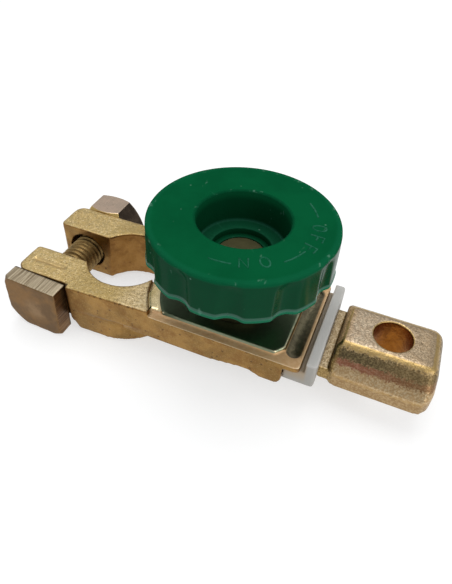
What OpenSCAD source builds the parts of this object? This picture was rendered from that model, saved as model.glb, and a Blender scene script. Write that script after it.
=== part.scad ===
// Battery disconnect switch: a split clamp for a battery post, a square contact pad with a fluted
// screw knob, and a cable lug whose tongue lies insulated inside the pad's channel.
// Origin: axis of the post seat at the clamp's underside. X runs to the cable lug, Z is up.

/* [Post clamp] */
// height of the clamp around the battery post
clamp_h = 12.9; // [12.5:0.1:14]
// diameter of the tapered post seat at its top, with the clamp relaxed
seat_d = 18.3; // [17.4:0.1:18.8]
// seat length for one unit of taper on the diameter
seat_taper = 9; // [8:1:12]
// width of the slot between the two ears
slot_w = 9.5; // [8:0.1:10.5]
// distance from the post axis to the ends of the ears
ear_reach = 22.0; // [21.8:0.1:24]
// how much shorter the front ear is than the back one
ear_short = 0.6; // [0:0.1:0.8]
// distance from the centre plane to the outer face of each ear
ear_out = 13.0; // [12.8:0.1:13.3]
// corner radius at the outer end of each ear
ear_r = 2.2; // [1:0.1:3]
// distance from the post axis to the shoulder beside the bolt head
shoulder_x = 7.3; // [7:0.1:7.8]
// how far the shoulder stands proud of the ear
shoulder_out = 1.3; // [0.8:0.1:1.6]
// run of the slope from the ear up to the shoulder
shoulder_run = 0.8; // [0.4:0.1:0.9]
// diameter of the round boss under the clamp
boss_d = 27.2; // [26.8:0.1:27.6]
// height of the round boss, up to the flat underside of the arms
boss_h = 6.4; // [5.8:0.1:7]
// leg of the chamfer along the lower outer edge of each ear
ear_chamfer = 3.0; // [2:0.1:3.4]
// length of the polarity groove on the front ear
mark_len = 7.5; // [5:0.5:9]
// width of the polarity groove
mark_w = 1.1; // [0.8:0.1:1.5]
// depth of the polarity groove
mark_depth = 0.35; // [0.2:0.05:0.5]

/* [Clamp bolt] */
// thread size of the clamp bolt
bolt_d = 8.0; // [7.6:0.1:8.2]
// distance from the post axis to the bolt axis
bolt_x = 15.2; // [15:0.1:15.6]
// radial clearance of the bolt in the ears
bolt_gap = 0.75; // [0.7:0.05:0.85]
// how far the bolt lies below the middle of its holes
bolt_drop = 0.3; // [0:0.1:0.4]
// width across the flats of the square bolt head
head_af = 13.2; // [12.6:0.1:13.6]
// thickness of the square bolt head
head_h = 4.3; // [3.8:0.1:5.5]
// turn of the bolt head out of square with the ear, in degrees
head_turn = 3; // [0:1:6]
// radius of the turned trim around the head's corners
head_trim_r = 8.6; // [8.4:0.1:9.4]
// how far the trim sits off the head's middle, towards its upper inner corner
head_trim_off = 1.2; // [0:0.1:1.5]
// width across the flats of the hexagon nut
nut_af = 14.0; // [12:0.5:14]
// thickness of the hexagon nut
nut_h = 7.5; // [5.5:0.1:7.8]
// leg of the chamfer on the nut's seating end, at its corners
nut_chamfer = 1.4; // [0.6:0.1:1.6]
// how far the bolt stands out of the nut
bolt_tail = 1.6; // [1:0.1:4]
// radial clearance of the nut on the bolt
nut_gap = 0.05; // [0.03:0.01:0.08]

/* [Contact pad] */
// distance from the post axis to the near end of the pad
pad_x = 12.3; // [12:0.1:12.8]
// length of the pad's top plate
pad_l = 33.4; // [33:0.1:34.5]
// width of the pad
pad_w = 26.5; // [26.3:0.1:27.2]
// height of the pad's outer ledge above the clamp's underside
ledge_z = 11.5; // [11.3:0.1:11.8]
// height of the machined contact seat above the ledge
seat_rise = 0.7; // [0.4:0.1:0.9]
// height of the pad's side walls
wall_h = 6.4; // [6.2:0.1:6.6]
// thickness of the pad's side walls
wall_t = 2.35; // [2.1:0.05:2.5]
// thickness of the pad's top plate, measured from the ledge
plate_t = 1.4; // [1.3:0.1:1.6]
// width of the ledge beside the contact seat
ledge_w = 1.85; // [1.5:0.05:2.2]
// length of the top plate that overhangs the side walls
overhang = 3.4; // [3:0.1:3.6]
// width of the trough at the pad's cable end
trough_w = 3.5; // [3:0.1:3.6]
// depth of the trough below the ledge
trough_depth = 0.8; // [0.5:0.1:0.9]
// radius of the knob's clearance cut into the clamp's top
relief_r = 19.35; // [19.2:0.05:19.6]
// radius of the curved end of the contact seat
seat_end_r = 16.9; // [16.4:0.1:17.4]
// radius of the hole through the contact seat
pad_hole_r = 6.4; // [6.2:0.1:6.8]
// length of each lip that holds the insulator
lip_l = 4.6; // [3.5:0.1:5]
// height of the arch in the lower edge of each side wall
arch_rise = 1.15; // [0.6:0.05:1.3]

/* [Screw knob] */
// distance from the knob axis to the pad's cable end
knob_back = 18.2; // [17.9:0.1:18.4]
// outer radius of the knob over its lobes
knob_r = 19.25; // [18.8:0.05:19.8]
// height from the clamp's underside to the knob's top
knob_top = 33.6; // [33:0.1:34.5]
// height of the knob's fluted skirt
skirt_h = 9.6; // [9:0.1:10]
// number of lobes around the knob
lobes = 12; // [10:1:14]
// depth of the hollows between the lobes
flute_depth = 1.0; // [0.8:0.05:1.4]
// share of each lobe's pitch that its hollow takes up
flute_share = 0.48; // [0.4:0.02:0.6]
// distance from the knob's top to the round upper end of each hollow
flute_top = 0.9; // [0.7:0.1:1.6]
// narrowing of the knob's radius from its lower edge to its top
knob_draft = 0.35; // [0.2:0.05:0.6]
// radius of the rounded top edge
rim_r = 0.5; // [0.3:0.1:0.8]
// radius of the rounded lower edge
hem_r = 0.7; // [0.4:0.1:0.9]
// radius of the well at the knob's top
well_r = 9.35; // [9:0.05:9.6]
// depth of the well down to its ring
well_depth = 7.4; // [7:0.1:7.6]
// narrowing of the well's radius from its mouth to its ring
well_draft = 0.35; // [0.2:0.05:0.5]
// radius of the smaller recess in the well's floor
recess_r = 6.2; // [5.8:0.1:6.6]
// thickness of the knob's walls
knob_t = 2.1; // [1.8:0.1:2.3]
// radius of the hub under the knob
hub_r = 10.0; // [9.5:0.1:10.5]

/* [Contact screw] */
// thread size of the contact screw
screw_d = 10.0; // [9.6:0.1:10.2]
// radial clearance of the screw in the tongue's thread
thread_gap = 0.05; // [0.03:0.01:0.08]
// radius of the contact washer
washer_r = 8.2; // [8:0.1:8.6]
// thickness of the contact washer
washer_t = 2.0; // [1.6:0.1:2.4]
// radial clearance of the washer on the screw
washer_gap = 0.07; // [0.04:0.01:0.09]
// radius of the screw's shoulder above the washer
shoulder_r = 6.6; // [6.2:0.1:7]
// thickness of the screw's shoulder
shoulder_t = 2.8; // [2.4:0.1:3.2]

/* [Cable lug] */
// gap between the insulator's flange and the lug's block
lug_gap = 1.9; // [1.8:0.1:2.2]
// length of the lug's block
lug_l = 19.9; // [19.5:0.1:21.5]
// width of the lug's block
lug_w = 19.6; // [19.2:0.1:20]
// width of the flat on top of the lug's block
lug_flat_w = 10.0; // [9:0.1:10.8]
// height of the block's flat top above the clamp's underside
lug_top = 14.9; // [14.7:0.1:15.3]
// height of the lug's underside above the clamp's underside
lug_z = 6.2; // [6:0.1:6.3]
// height where the block's straight sides meet its round back
lug_band_z = 9.6; // [9.2:0.1:9.9]
// radius of the block's curved shoulders between its flat top and its straight sides
lug_side_r = 16; // [12:0.5:24]
// corner radius of the block seen from above
lug_r = 2.4; // [1:0.1:3]
// radius of the rounded top edge at the block's far end
lug_edge_r = 1.2; // [0.6:0.1:1.6]
// diameter of the cable bolt hole
lug_hole_d = 7.8; // [7.6:0.1:8.4]
// distance from the block's near end to the bolt hole
lug_hole_x = 10.0; // [9.8:0.1:10.6]
// width of the tongue inside the pad
tongue_w = 17.8; // [17.4:0.1:18]
// thickness of the tongue inside the pad
tongue_t = 2.6; // [2.4:0.1:2.7]
// radius of the threaded boss under the tongue
thread_boss_r = 8.0; // [7.6:0.1:8.2]
// depth of the threaded boss under the tongue
thread_boss_h = 3.4; // [3:0.1:3.6]

/* [Insulator] */
// thickness of the flange between the pad and the lug
flange_t = 2.2; // [1.8:0.1:2.4]
// width of the flange
flange_w = 25.0; // [24.6:0.1:25.4]
// height of the flange's top above the clamp's underside
flange_top = 12.8; // [12.4:0.1:13]
// height of the flange's lower edge above the clamp's underside
flange_z = 6.6; // [6.4:0.1:6.9]
// gap between the pad's end and the flange
flange_gap = 0.9; // [0.6:0.1:1]
// clearance between the insulator and the metal around it
slip = 0.1; // [0.05:0.01:0.13]
// wall of the collar in the pad's hole
collar_t = 0.7; // [0.5:0.05:0.75]
// thickness of the lower cover under the tongue
cover_t = 0.85; // [0.7:0.05:0.95]

/* [Hidden] */
e = 0.01;
over = 1;
brass = [0.78, 0.62, 0.30];
plated = [0.80, 0.66, 0.38];
nylon = [0.90, 0.91, 0.92];
green = [0.02, 0.38, 0.22];

seat_rt = seat_d / 2;
seat_rb = seat_rt + clamp_h / seat_taper / 2;
hole_z = clamp_h / 2;
bolt_z = hole_z - bolt_drop;
bolt_r = bolt_d / 2;
bolt_hole_r = bolt_r + bolt_gap;
jaw_out = ear_out + shoulder_out;
pad_half = pad_w / 2;
boss_r = boss_d / 2;
pad_end = pad_x + pad_l;
wall_end = pad_end - overhang;
knob_x = pad_end - knob_back;
wall_z = ledge_z - wall_h;
plate_z = ledge_z - plate_t;
contact_z = ledge_z + seat_rise;
land_z = ledge_z + seat_rise * 0.6;
cavity_x = pad_x + 4.2;
cavity_half = pad_half - wall_t;
seat_half = pad_half - ledge_w;
trough_end = pad_end - 0.6;
trough_x = trough_end - trough_w / 2;
seat_x = trough_end - trough_w;
trough_half = seat_half - 0.5;
trough_r = (trough_w * trough_w / 4 + trough_depth * trough_depth) / (2 * trough_depth);
lip_t = 0.5;
cover_z = wall_z + lip_t + 0.05;
tongue_z = cover_z + cover_t + slip / 2;
tongue_top = tongue_z + tongue_t;
tongue_half = tongue_w / 2;
tray_z = tongue_top + slip;
tray_top = plate_z - slip / 2;
tray_half = cavity_half - slip;
flange_x = pad_end + flange_gap;
flange_end = flange_x + flange_t;
flange_half = flange_w / 2;
screw_r = screw_d / 2;
neck_r = screw_r - 0.65;
screw_tip = tongue_z - thread_boss_h + 0.3;
washer_top = contact_z + washer_t;
shoulder_top = washer_top + shoulder_t;
ring_z = knob_top - well_depth;
stud_end = ring_z - 1.5;
skirt_z = knob_top - skirt_h;
collar_r = pad_hole_r - slip;
lug_x = flange_end + lug_gap;
lug_end = lug_x + lug_l;
lug_half = lug_w / 2;
flat_half = lug_flat_w / 2;
// centre of the round shoulder that runs from the flat's edge to the top of the straight side
chord_y = lug_half - flat_half;
chord_z = lug_top - lug_band_z;
chord = sqrt(chord_y * chord_y + chord_z * chord_z);
chord_h = sqrt(lug_side_r * lug_side_r - chord * chord / 4);
lug_cy = (lug_half + flat_half) / 2 - chord_h * chord_z / chord;
lug_cz = (lug_top + lug_band_z) / 2 - chord_h * chord_y / chord;
// point where the front jaw's lower face runs into the round boss
jaw_dist = sqrt(shoulder_x * shoulder_x + jaw_out * jaw_out);
jaw_ang = atan2(-jaw_out, -shoulder_x) + acos(boss_r / jaw_dist);
tan_x = boss_r * cos(jaw_ang);
tan_y = boss_r * sin(jaw_ang);

// a square prism less a quarter round, for rounding an upright corner at x, y
module corner(x, y, sx, sy, r, z0, z1) {
  translate([x, y, z0])
    difference() {
      translate([sx > 0 ? -r : -1, sy > 0 ? -r : -1, 0])
        cube([r + 1, r + 1, z1 - z0]);
      translate([-sx * r, -sy * r, -e])
        cylinder(r = r, h = z1 - z0 + 2 * e, $fn = 48);
    }
}

// a box from one corner to the other
module box(x0, y0, z0, x1, y1, z1) {
  translate([x0, y0, z0])
    cube([x1 - x0, y1 - y0, z1 - z0]);
}

// a round bar along X
module bar_x(x0, x1, y, z, r) {
  translate([x0, y, z])
    rotate([0, 90, 0])
      cylinder(r = r, h = x1 - x0, $fn = 96);
}

// a round bar along Y
module bar_y(x, z, y0, y1, r) {
  translate([x, y0, z])
    rotate([-90, 0, 0])
      cylinder(r = r, h = y1 - y0, $fn = 72);
}

// the clamp's arms above the boss: ears, front shoulder and straight sides up to the pad
module arms() {
  translate([0, 0, boss_h])
    linear_extrude(height = clamp_h - boss_h)
      polygon([
        [-ear_reach, -ear_out],
        [-shoulder_x - shoulder_run, -ear_out],
        [-shoulder_x, -jaw_out],
        [pad_x, -pad_half],
        [pad_x, pad_half],
        [0, ear_out],
        [-ear_reach, ear_out]
      ]);
}

// the lower half of the arms, which runs into a round boss about the post seat
module lower_arms() {
  linear_extrude(height = boss_h + e)
    polygon([
      [-ear_reach, -ear_out],
      [-shoulder_x - shoulder_run, -ear_out],
      [-shoulder_x, -jaw_out],
      [tan_x, tan_y],
      [0, 0],
      [-2, ear_out],
      [-ear_reach, ear_out]
    ]);
  cylinder(r = boss_r, h = boss_h + e, $fn = 144);
}

// wedge under the outer edge of an ear; its inner end slopes
module ear_bevel(s) {
  rise = shoulder_out + over;
  difference() {
    translate([-ear_reach - over, 0, 0])
      rotate([90, 0, 90])
        linear_extrude(height = ear_reach + over)
          polygon([
            [s * (ear_out - ear_chamfer - over), -over],
            [s * (ear_out - ear_chamfer), 0],
            [s * (ear_out + rise), ear_chamfer + rise],
            [s * (ear_out + rise), -over]
          ]);
    translate([-shoulder_x + ear_chamfer - 0.4, 0, -over])
      rotate([0, -30, 0])
        translate([0, -2 * ear_out, -2 * over])
          cube([ear_reach, 4 * ear_out, 3 * ear_out]);
  }
}

// the hollow pad: side walls, top plate, raised contact seat and the curved land beside it
module pad() {
  difference() {
    box(6, -pad_half, wall_z, pad_end, pad_half, ledge_z);
    // channel for the insulated tongue, open below and at the cable end
    box(cavity_x, -cavity_half, wall_z - over, pad_end + over, cavity_half, plate_z);
    // the top plate overhangs the side walls
    box(wall_end, -pad_half - over, wall_z - over, pad_end + over, pad_half + over, plate_z);
    // shallow arch in the lower edge of both side walls
    translate([0, pad_half + over, 0])
      rotate([90, 0, 0])
        linear_extrude(height = pad_w + 2 * over)
          polygon([
            [pad_x + pad_l * 0.42, wall_z - over],
            [pad_x + pad_l * 0.42, wall_z],
            [pad_x + pad_l * 0.665, wall_z + arch_rise],
            [pad_x + pad_l * 0.69, wall_z + arch_rise],
            [pad_x + pad_l * 0.76, wall_z + 0.1],
            [pad_x + pad_l * 0.76, wall_z - over]
          ]);
    // rounded lower corner of both side walls at the cable end
    translate([wall_end, pad_half + over, wall_z])
      rotate([90, 0, 0])
        difference() {
          translate([-1.6, -over, 0])
            cube([1.6 + over, 1.6 + over, pad_w + 2 * over]);
          translate([-1.6, 1.6, -over])
            cylinder(r = 1.6, h = pad_w + 4 * over, $fn = 48);
        }
    // trough with round ends across the cable end
    translate([trough_x, -trough_half + trough_w / 2, ledge_z - trough_depth + trough_r])
      rotate([-90, 0, 0])
        cylinder(r = trough_r, h = 2 * trough_half - trough_w, $fn = 72);
    for (s = [-1, 1])
      translate([trough_x, s * (trough_half - trough_w / 2), ledge_z - trough_depth + trough_r])
        sphere(r = trough_r, $fn = 72);
    for (s = [-1, 1])
      corner(pad_end, s * pad_half, 1, s, 1.1, plate_z - over, ledge_z + over);
  }
  // raised contact seat with one curved end
  intersection() {
    box(pad_x - 3, -seat_half, plate_z + 0.4, seat_x, seat_half, contact_z);
    translate([knob_x, 0, plate_z])
      cylinder(r = seat_end_r, h = contact_z - plate_z + over, $fn = 180);
  }
  // land between the seat's curved end and the clamp
  intersection() {
    box(pad_x - 5, -seat_half + 0.5, plate_z + 0.4, knob_x - seat_end_r / 2, seat_half - 0.5, land_z);
    translate([knob_x, 0, plate_z])
      cylinder(r = relief_r, h = land_z - plate_z + over, $fn = 180);
  }
  // lips that hold the lower cover, one at each corner of the channel
  for (s = [-1, 1])
    for (x = [cavity_x - e, wall_end - lip_l])
      box(x, s > 0 ? cavity_half - 0.9 : -cavity_half - 0.5, wall_z,
          x + lip_l, s > 0 ? cavity_half + 0.5 : -cavity_half + 0.9, wall_z + lip_t);
}

// one casting: split clamp with two ears, boss and hollow contact pad
module clamp_body() {
  color(brass)
    difference() {
      union() {
        difference() {
          arms();
          // clearance for the turning knob down to the ledge
          translate([knob_x, 0, ledge_z])
            cylinder(r = relief_r, h = clamp_h - ledge_z + over, $fn = 180);
        }
        lower_arms();
        pad();
      }
      // tapered seat for the battery post
      translate([0, 0, -e])
        cylinder(r1 = seat_rb, r2 = seat_rt, h = clamp_h + 2 * e, $fn = 180);
      // slot between the ears
      box(-ear_reach - over, -slot_w / 2, -over, 0, slot_w / 2, clamp_h + over);
      // hole for the clamp bolt through both ears
      bar_y(-bolt_x, hole_z, -jaw_out - over, ear_out + over, bolt_hole_r);
      // the front ear is a little shorter
      box(-ear_reach - over, -jaw_out - over, -over, -ear_reach + ear_short, 0, clamp_h + over);
      // rounded ends of the ears
      for (s = [-1, 1]) {
        end_x = s < 0 ? -ear_reach + ear_short : -ear_reach;
        corner(end_x, s * ear_out, -1, s, ear_r, -over, clamp_h + over);
        corner(end_x, s * slot_w / 2, -1, -s, ear_r * 0.4, -over, clamp_h + over);
      }
      // chamfer under the outer edge of both ears, which runs out at the front shoulder
      for (s = [-1, 1])
        ear_bevel(s);
      // eased lower edge of the front jaw
      translate([-shoulder_x, -jaw_out, 0])
        rotate([45, 0, 0])
          translate([0, -0.65, -0.65])
            cube([shoulder_x + tan_x, 1.3, 1.3]);
      // hole for the collar and the contact screw
      translate([knob_x, 0, plate_z - over])
        cylinder(r = pad_hole_r, h = contact_z - plate_z + 2 * over, $fn = 120);
      // polarity groove on the front ear
      translate([-bolt_x, -(ear_out + slot_w / 2) / 2, clamp_h - mark_depth]) {
        box(-mark_len / 2, -mark_w / 2, 0, mark_len / 2, mark_w / 2, over);
        for (s = [-1, 1])
          translate([s * mark_len / 2, 0, 0])
            cylinder(r = mark_w / 2, h = over, $fn = 32);
      }
    }
}

// square-head bolt through both ears, head at the front
module clamp_bolt() {
  head_edge = 0.9;
  color(brass) {
    translate([-bolt_x, -ear_out, bolt_z])
      rotate([90, 0, 0])
        rotate([0, 0, -head_turn])
          intersection() {
            translate([-head_af / 2, -head_af / 2, 0])
              cube([head_af, head_af, head_h]);
            translate([head_trim_off, head_trim_off, 0]) {
              cylinder(r = head_trim_r + head_edge, h = head_h - head_edge, $fn = 96);
              translate([0, 0, head_h - head_edge - e])
                cylinder(r1 = head_trim_r + head_edge, r2 = head_trim_r, h = head_edge + e, $fn = 96);
            }
          }
    bar_y(-bolt_x, bolt_z, -ear_out - 0.5, ear_out + nut_h + bolt_tail - 0.8, bolt_r);
    translate([-bolt_x, ear_out + nut_h + bolt_tail - 0.8 - e, bolt_z])
      rotate([-90, 0, 0])
        cylinder(r1 = bolt_r, r2 = bolt_r - 0.8, h = 0.8 + e, $fn = 72);
  }
}

// hexagon nut with both ends chamfered
module clamp_nut() {
  nut_c = nut_af / 2;
  nut_rise = nut_af * 0.0774;
  color(brass)
    translate([-bolt_x, ear_out, bolt_z])
      rotate([-90, 0, 0])
        difference() {
          intersection() {
            cylinder(r = nut_af / sqrt(3), h = nut_h, $fn = 6);
            union() {
              cylinder(r1 = nut_c - 0.1, r2 = nut_c + nut_rise + 0.3, h = nut_chamfer, $fn = 96);
              translate([0, 0, nut_chamfer - e])
                cylinder(r = nut_c + nut_rise + 0.3, h = nut_h - nut_chamfer - 0.9 + 2 * e, $fn = 96);
              translate([0, 0, nut_h - 0.9])
                cylinder(r1 = nut_c + nut_rise + 0.3, r2 = nut_c - 0.1, h = 0.9, $fn = 96);
            }
          }
          translate([0, 0, -over])
            cylinder(r = bolt_r + nut_gap, h = nut_h + 2 * over, $fn = 72);
        }
}

// cable lug: half-round block with a flat top and an upright bolt hole, neck and threaded tongue
module cable_lug() {
  color(plated)
    difference() {
      union() {
        // half-round block
        intersection() {
          bar_x(lug_x - over, lug_end + over, -lug_cy, lug_cz, lug_side_r);
          bar_x(lug_x - over, lug_end + over, lug_cy, lug_cz, lug_side_r);
          difference() {
            box(lug_x, -lug_half, lug_z, lug_end, lug_half, lug_top);
            for (s = [-1, 1]) {
              corner(lug_end, s * lug_half, 1, s, lug_r, lug_z - over, lug_top + over);
              corner(lug_x, s * lug_half, -1, s, lug_r * 0.7, lug_z - over, lug_top + over);
            }
            // rounded top edge at the far end, eased one at the near end
            difference() {
              box(lug_end - lug_edge_r, -lug_w, lug_top - lug_edge_r, lug_end + over, lug_w, lug_top + over);
              bar_y(lug_end - lug_edge_r, lug_top - lug_edge_r, -lug_w - over, lug_w + over, lug_edge_r);
            }
            translate([lug_x, 0, lug_top])
              rotate([0, 45, 0])
                cube([1.5, lug_w + over, 1.5], center = true);
          }
        }
        // neck and tongue
        box(knob_x, -tongue_half, tongue_z, lug_x + 2, tongue_half, tongue_top);
        box(flange_end + 0.1, -tongue_half, lug_z, lug_x + 2, tongue_half, tongue_top);
        translate([knob_x, 0, tongue_z])
          cylinder(r = tongue_half, h = tongue_t, $fn = 120);
        // threaded boss under the tongue
        translate([knob_x, 0, tongue_z - thread_boss_h])
          cylinder(r = thread_boss_r, h = thread_boss_h + e, $fn = 96);
      }
      // threaded hole for the contact screw
      translate([knob_x, 0, tongue_z - thread_boss_h - over])
        cylinder(r = screw_r + thread_gap, h = thread_boss_h + tongue_t + 2 * over, $fn = 96);
      // upright hole for the cable bolt
      translate([lug_x + lug_hole_x, 0, lug_z - over])
        cylinder(r = lug_hole_d / 2, h = lug_top - lug_z + 2 * over, $fn = 96);
    }
}

// upper insulator: tray over the tongue, collar in the pad's hole and flange at the cable end
module insulator_upper() {
  color(nylon)
    difference() {
      union() {
        box(cavity_x + slip, -tray_half, tongue_z, wall_end + slip + e, tray_half, tray_top);
        box(wall_end + slip, -flange_half, flange_z, flange_x + e, flange_half, tray_top);
        box(flange_x, -flange_half, flange_z, flange_end, flange_half, flange_top);
        translate([knob_x, 0, tray_top - e])
          cylinder(r = collar_r, h = contact_z - 0.2 - tray_top + e, $fn = 120);
      }
      // room for the tongue
      box(knob_x, -tongue_half - slip, wall_z - over, flange_end + over, tongue_half + slip, tray_z);
      translate([knob_x, 0, wall_z - over])
        cylinder(r = tongue_half + slip, h = tray_z - wall_z + over, $fn = 120);
      // bore of the collar
      translate([knob_x, 0, tray_z - over])
        cylinder(r = collar_r - collar_t, h = contact_z - tray_z + 2 * over, $fn = 120);
      // rounded upper corners and lower edges of the flange
      for (s = [-1, 1])
        translate([flange_x - over, s * flange_half, flange_top])
          rotate([45, 0, 0])
            cube([flange_t + 2 * over, 0.9, 0.9]);
      for (s = [-1, 1])
        corner(flange_end, s * flange_half, 1, s, 0.8, flange_z - over, flange_top + over);
    }
}

// lower insulator: cover plate under the tongue, pierced for the threaded boss
module insulator_lower() {
  color(nylon)
    difference() {
      box(cavity_x + slip, -tray_half, cover_z, wall_end - 0.1, tray_half, cover_z + cover_t);
      translate([knob_x, 0, cover_z - over])
        cylinder(r = thread_boss_r + 0.35, h = cover_t + 2 * over, $fn = 120);
    }
}

// fluted knob with a deep well, cored from below, with a hub around the screw
module knob_shell() {
  valley_r = knob_r - flute_depth;
  // radius of each hollow's cutter, from the hollow's half width and depth
  half = knob_r * sin(180 / lobes * flute_share);
  cut_r = (half * half + flute_depth * flute_depth) / (2 * flute_depth);
  // height where each hollow's round upper end begins
  gap_r = valley_r + cut_r - (knob_r - knob_draft);
  ball_z = knob_top - flute_top - sqrt(max(0, cut_r * cut_r - gap_r * gap_r));
  ring_r = well_r - well_draft;
  inner_r = knob_r - flute_depth - knob_t;
  color(green)
    translate([knob_x, 0, 0])
      difference() {
        union() {
          difference() {
            union() {
              rotate_extrude($fn = 180) {
                translate([knob_r - knob_draft - rim_r, knob_top - rim_r])
                  circle(r = rim_r, $fn = 48);
                translate([knob_r - hem_r, skirt_z + hem_r])
                  circle(r = hem_r, $fn = 48);
                polygon([
                  [0, skirt_z],
                  [knob_r - hem_r, skirt_z],
                  [knob_r, skirt_z + hem_r],
                  [knob_r - knob_draft, knob_top - rim_r],
                  [knob_r - knob_draft - rim_r, knob_top],
                  [0, knob_top]
                ]);
              }
            }
            for (i = [0:lobes - 1])
              rotate([0, 0, (i + 0.5) * 360 / lobes])
                translate([valley_r + cut_r, 0, 0]) {
                  translate([0, 0, skirt_z - over])
                    cylinder(r = cut_r, h = ball_z - skirt_z + over, $fn = 72);
                  translate([0, 0, ball_z])
                    sphere(r = cut_r, $fn = 72);
                }
            // ring-shaped core between the well's wall and the skirt
            translate([0, 0, skirt_z - over])
              difference() {
                cylinder(r = inner_r, h = skirt_h - knob_t - 0.4 + over, $fn = 144);
                translate([0, 0, -over])
                  cylinder(r = well_r + knob_t, h = skirt_h + 2 * over, $fn = 120);
              }
          }
          // stiffening ribs inside the core
          for (i = [0:lobes - 1])
            rotate([0, 0, i * 360 / lobes])
              box(well_r + knob_t - 0.4, -0.7, skirt_z + 1.6, inner_r + 0.4, 0.7, knob_top - knob_t);
          // hub around the screw
          translate([0, 0, shoulder_top])
            cylinder(r = hub_r, h = skirt_z - shoulder_top + 0.5, $fn = 120);
        }
        // well, ring and recess
        translate([0, 0, ring_z])
          cylinder(r1 = ring_r, r2 = well_r, h = well_depth + e, $fn = 144);
        translate([0, 0, stud_end])
          cylinder(r = recess_r, h = ring_z - stud_end + over, $fn = 120);
        // seat for the moulded-in screw
        translate([0, 0, shoulder_top - over])
          cylinder(r = screw_r + 0.02, h = stud_end - shoulder_top + 2 * over, $fn = 96);
        translate([0, 0, shoulder_top + 1.5])
          cylinder(r = screw_r + 1.22, h = 3.5, $fn = 6);
      }
}

// contact screw moulded into the knob: thread, relieved neck, shoulder, hexagon and end
module knob_stud() {
  color(brass)
    translate([knob_x, 0, 0]) {
      translate([0, 0, screw_tip])
        cylinder(r1 = screw_r - 0.8, r2 = screw_r, h = 0.8, $fn = 96);
      translate([0, 0, screw_tip + 0.8 - e])
        cylinder(r = screw_r, h = contact_z - 0.3 - screw_tip - 0.8 + e, $fn = 96);
      translate([0, 0, contact_z - 0.3 - e])
        cylinder(r = neck_r, h = washer_t + 0.3 + 2 * e, $fn = 96);
      translate([0, 0, washer_top])
        cylinder(r = shoulder_r, h = shoulder_t, $fn = 96);
      translate([0, 0, shoulder_top - e])
        cylinder(r = screw_r, h = stud_end - shoulder_top + e, $fn = 96);
      translate([0, 0, shoulder_top + 1.5])
        cylinder(r = screw_r + 1.2, h = 3.5, $fn = 6);
    }
}

// brass washer held on the screw's neck, which makes the contact and doesn't turn
module contact_washer() {
  color(plated)
    translate([knob_x, 0, contact_z])
      difference() {
        union() {
          cylinder(r = washer_r, h = washer_t - 0.4, $fn = 120);
          translate([0, 0, washer_t - 0.4 - e])
            cylinder(r1 = washer_r, r2 = washer_r - 0.4, h = 0.4 + e, $fn = 120);
        }
        translate([0, 0, -over])
          cylinder(r = neck_r + washer_gap, h = washer_t + 2 * over, $fn = 96);
      }
}

clamp_body();
clamp_bolt();
clamp_nut();
cable_lug();
insulator_upper();
insulator_lower();
knob_shell();
knob_stud();
contact_washer();
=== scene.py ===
"""Looks of a battery disconnect switch: clamp, clamp bolt and nut, screw knob, insulator and cable lug."""

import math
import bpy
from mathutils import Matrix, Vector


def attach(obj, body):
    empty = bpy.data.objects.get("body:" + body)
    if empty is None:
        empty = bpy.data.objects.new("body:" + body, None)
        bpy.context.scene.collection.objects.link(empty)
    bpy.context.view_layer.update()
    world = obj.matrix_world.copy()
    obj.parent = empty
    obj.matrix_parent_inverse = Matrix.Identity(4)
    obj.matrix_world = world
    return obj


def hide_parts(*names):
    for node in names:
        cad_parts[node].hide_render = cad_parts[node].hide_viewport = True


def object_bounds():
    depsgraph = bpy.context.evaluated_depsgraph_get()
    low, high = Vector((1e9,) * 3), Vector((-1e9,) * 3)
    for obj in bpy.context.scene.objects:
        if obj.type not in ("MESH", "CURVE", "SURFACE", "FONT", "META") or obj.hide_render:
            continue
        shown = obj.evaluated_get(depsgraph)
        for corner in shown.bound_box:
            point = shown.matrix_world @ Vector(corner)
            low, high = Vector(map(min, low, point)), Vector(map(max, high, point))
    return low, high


bl_info = {
    "name": "Battery Disconnect Switch",
    "version": (1, 0, 0),
    "blender": (4, 5, 0),
    "location": "View3D > Sidebar > Switch",
    "description": "Dresses the packed battery disconnect switch with detailed pieces and materials",
    "category": "Object",
}

from types import SimpleNamespace

import bmesh
import bpy
from bpy.props import FloatProperty, FloatVectorProperty, IntProperty, PointerProperty
from mathutils import Matrix, Vector, noise

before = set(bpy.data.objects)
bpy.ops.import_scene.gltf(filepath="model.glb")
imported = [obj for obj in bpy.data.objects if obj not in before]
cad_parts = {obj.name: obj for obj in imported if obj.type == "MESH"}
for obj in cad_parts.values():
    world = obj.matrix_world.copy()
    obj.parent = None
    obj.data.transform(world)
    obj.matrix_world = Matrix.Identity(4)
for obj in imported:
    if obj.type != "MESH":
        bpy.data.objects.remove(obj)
cad_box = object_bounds()

MM = 0.001

# axes of the knob, the clamp bolt and the lug's hole, in metres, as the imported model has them
KNOB_X = 0.0275
BOLT_X = -0.0152
BOLT_Z = 0.00615
HOLE_X = 0.0607

# blocks of the casting with a colour of their own: low corner, high corner and softness, in mm
PAD_BLOCK = ((9.6, -20.0, 11.2), (50.0, 20.0, 12.62), 0.08)
# the seat's block holds a dark greenish painted reflection of the knob
SEAT_BLOCK = ((9.6, -11.6, 11.7), (42.2, 11.6, 12.62), 0.08)
# the trough's block is darkened with painted shade and a painted reflection of the knob
TROUGH_BLOCK = ((41.4, -11.2, 10.2), (45.3, 11.2, 11.4), 0.15)
MINUS_BLOCK = ((-19.8, -9.8, 12.2), (-10.6, -7.9, 12.84), 0.04)
# the block behind the bolt head holds a painted shadow
BEHIND_HEAD = ((-23.5, -20.0, -1.0), (-7.2, -12.92, 13.6), 0.25)
# radius about the knob's axis where the dark seat ends and the brassy land begins, in mm
LAND_R = 16.9

# the knob's outer wall, in mm: radius at the foot, how much narrower the shoulder is, and their heights
WALL_R = 19.25
WALL_DRAFT = 0.35
FOOT_Z = 24.7
SHOULDER_Z = 33.1
KNOB_TOP = 33.48
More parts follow.
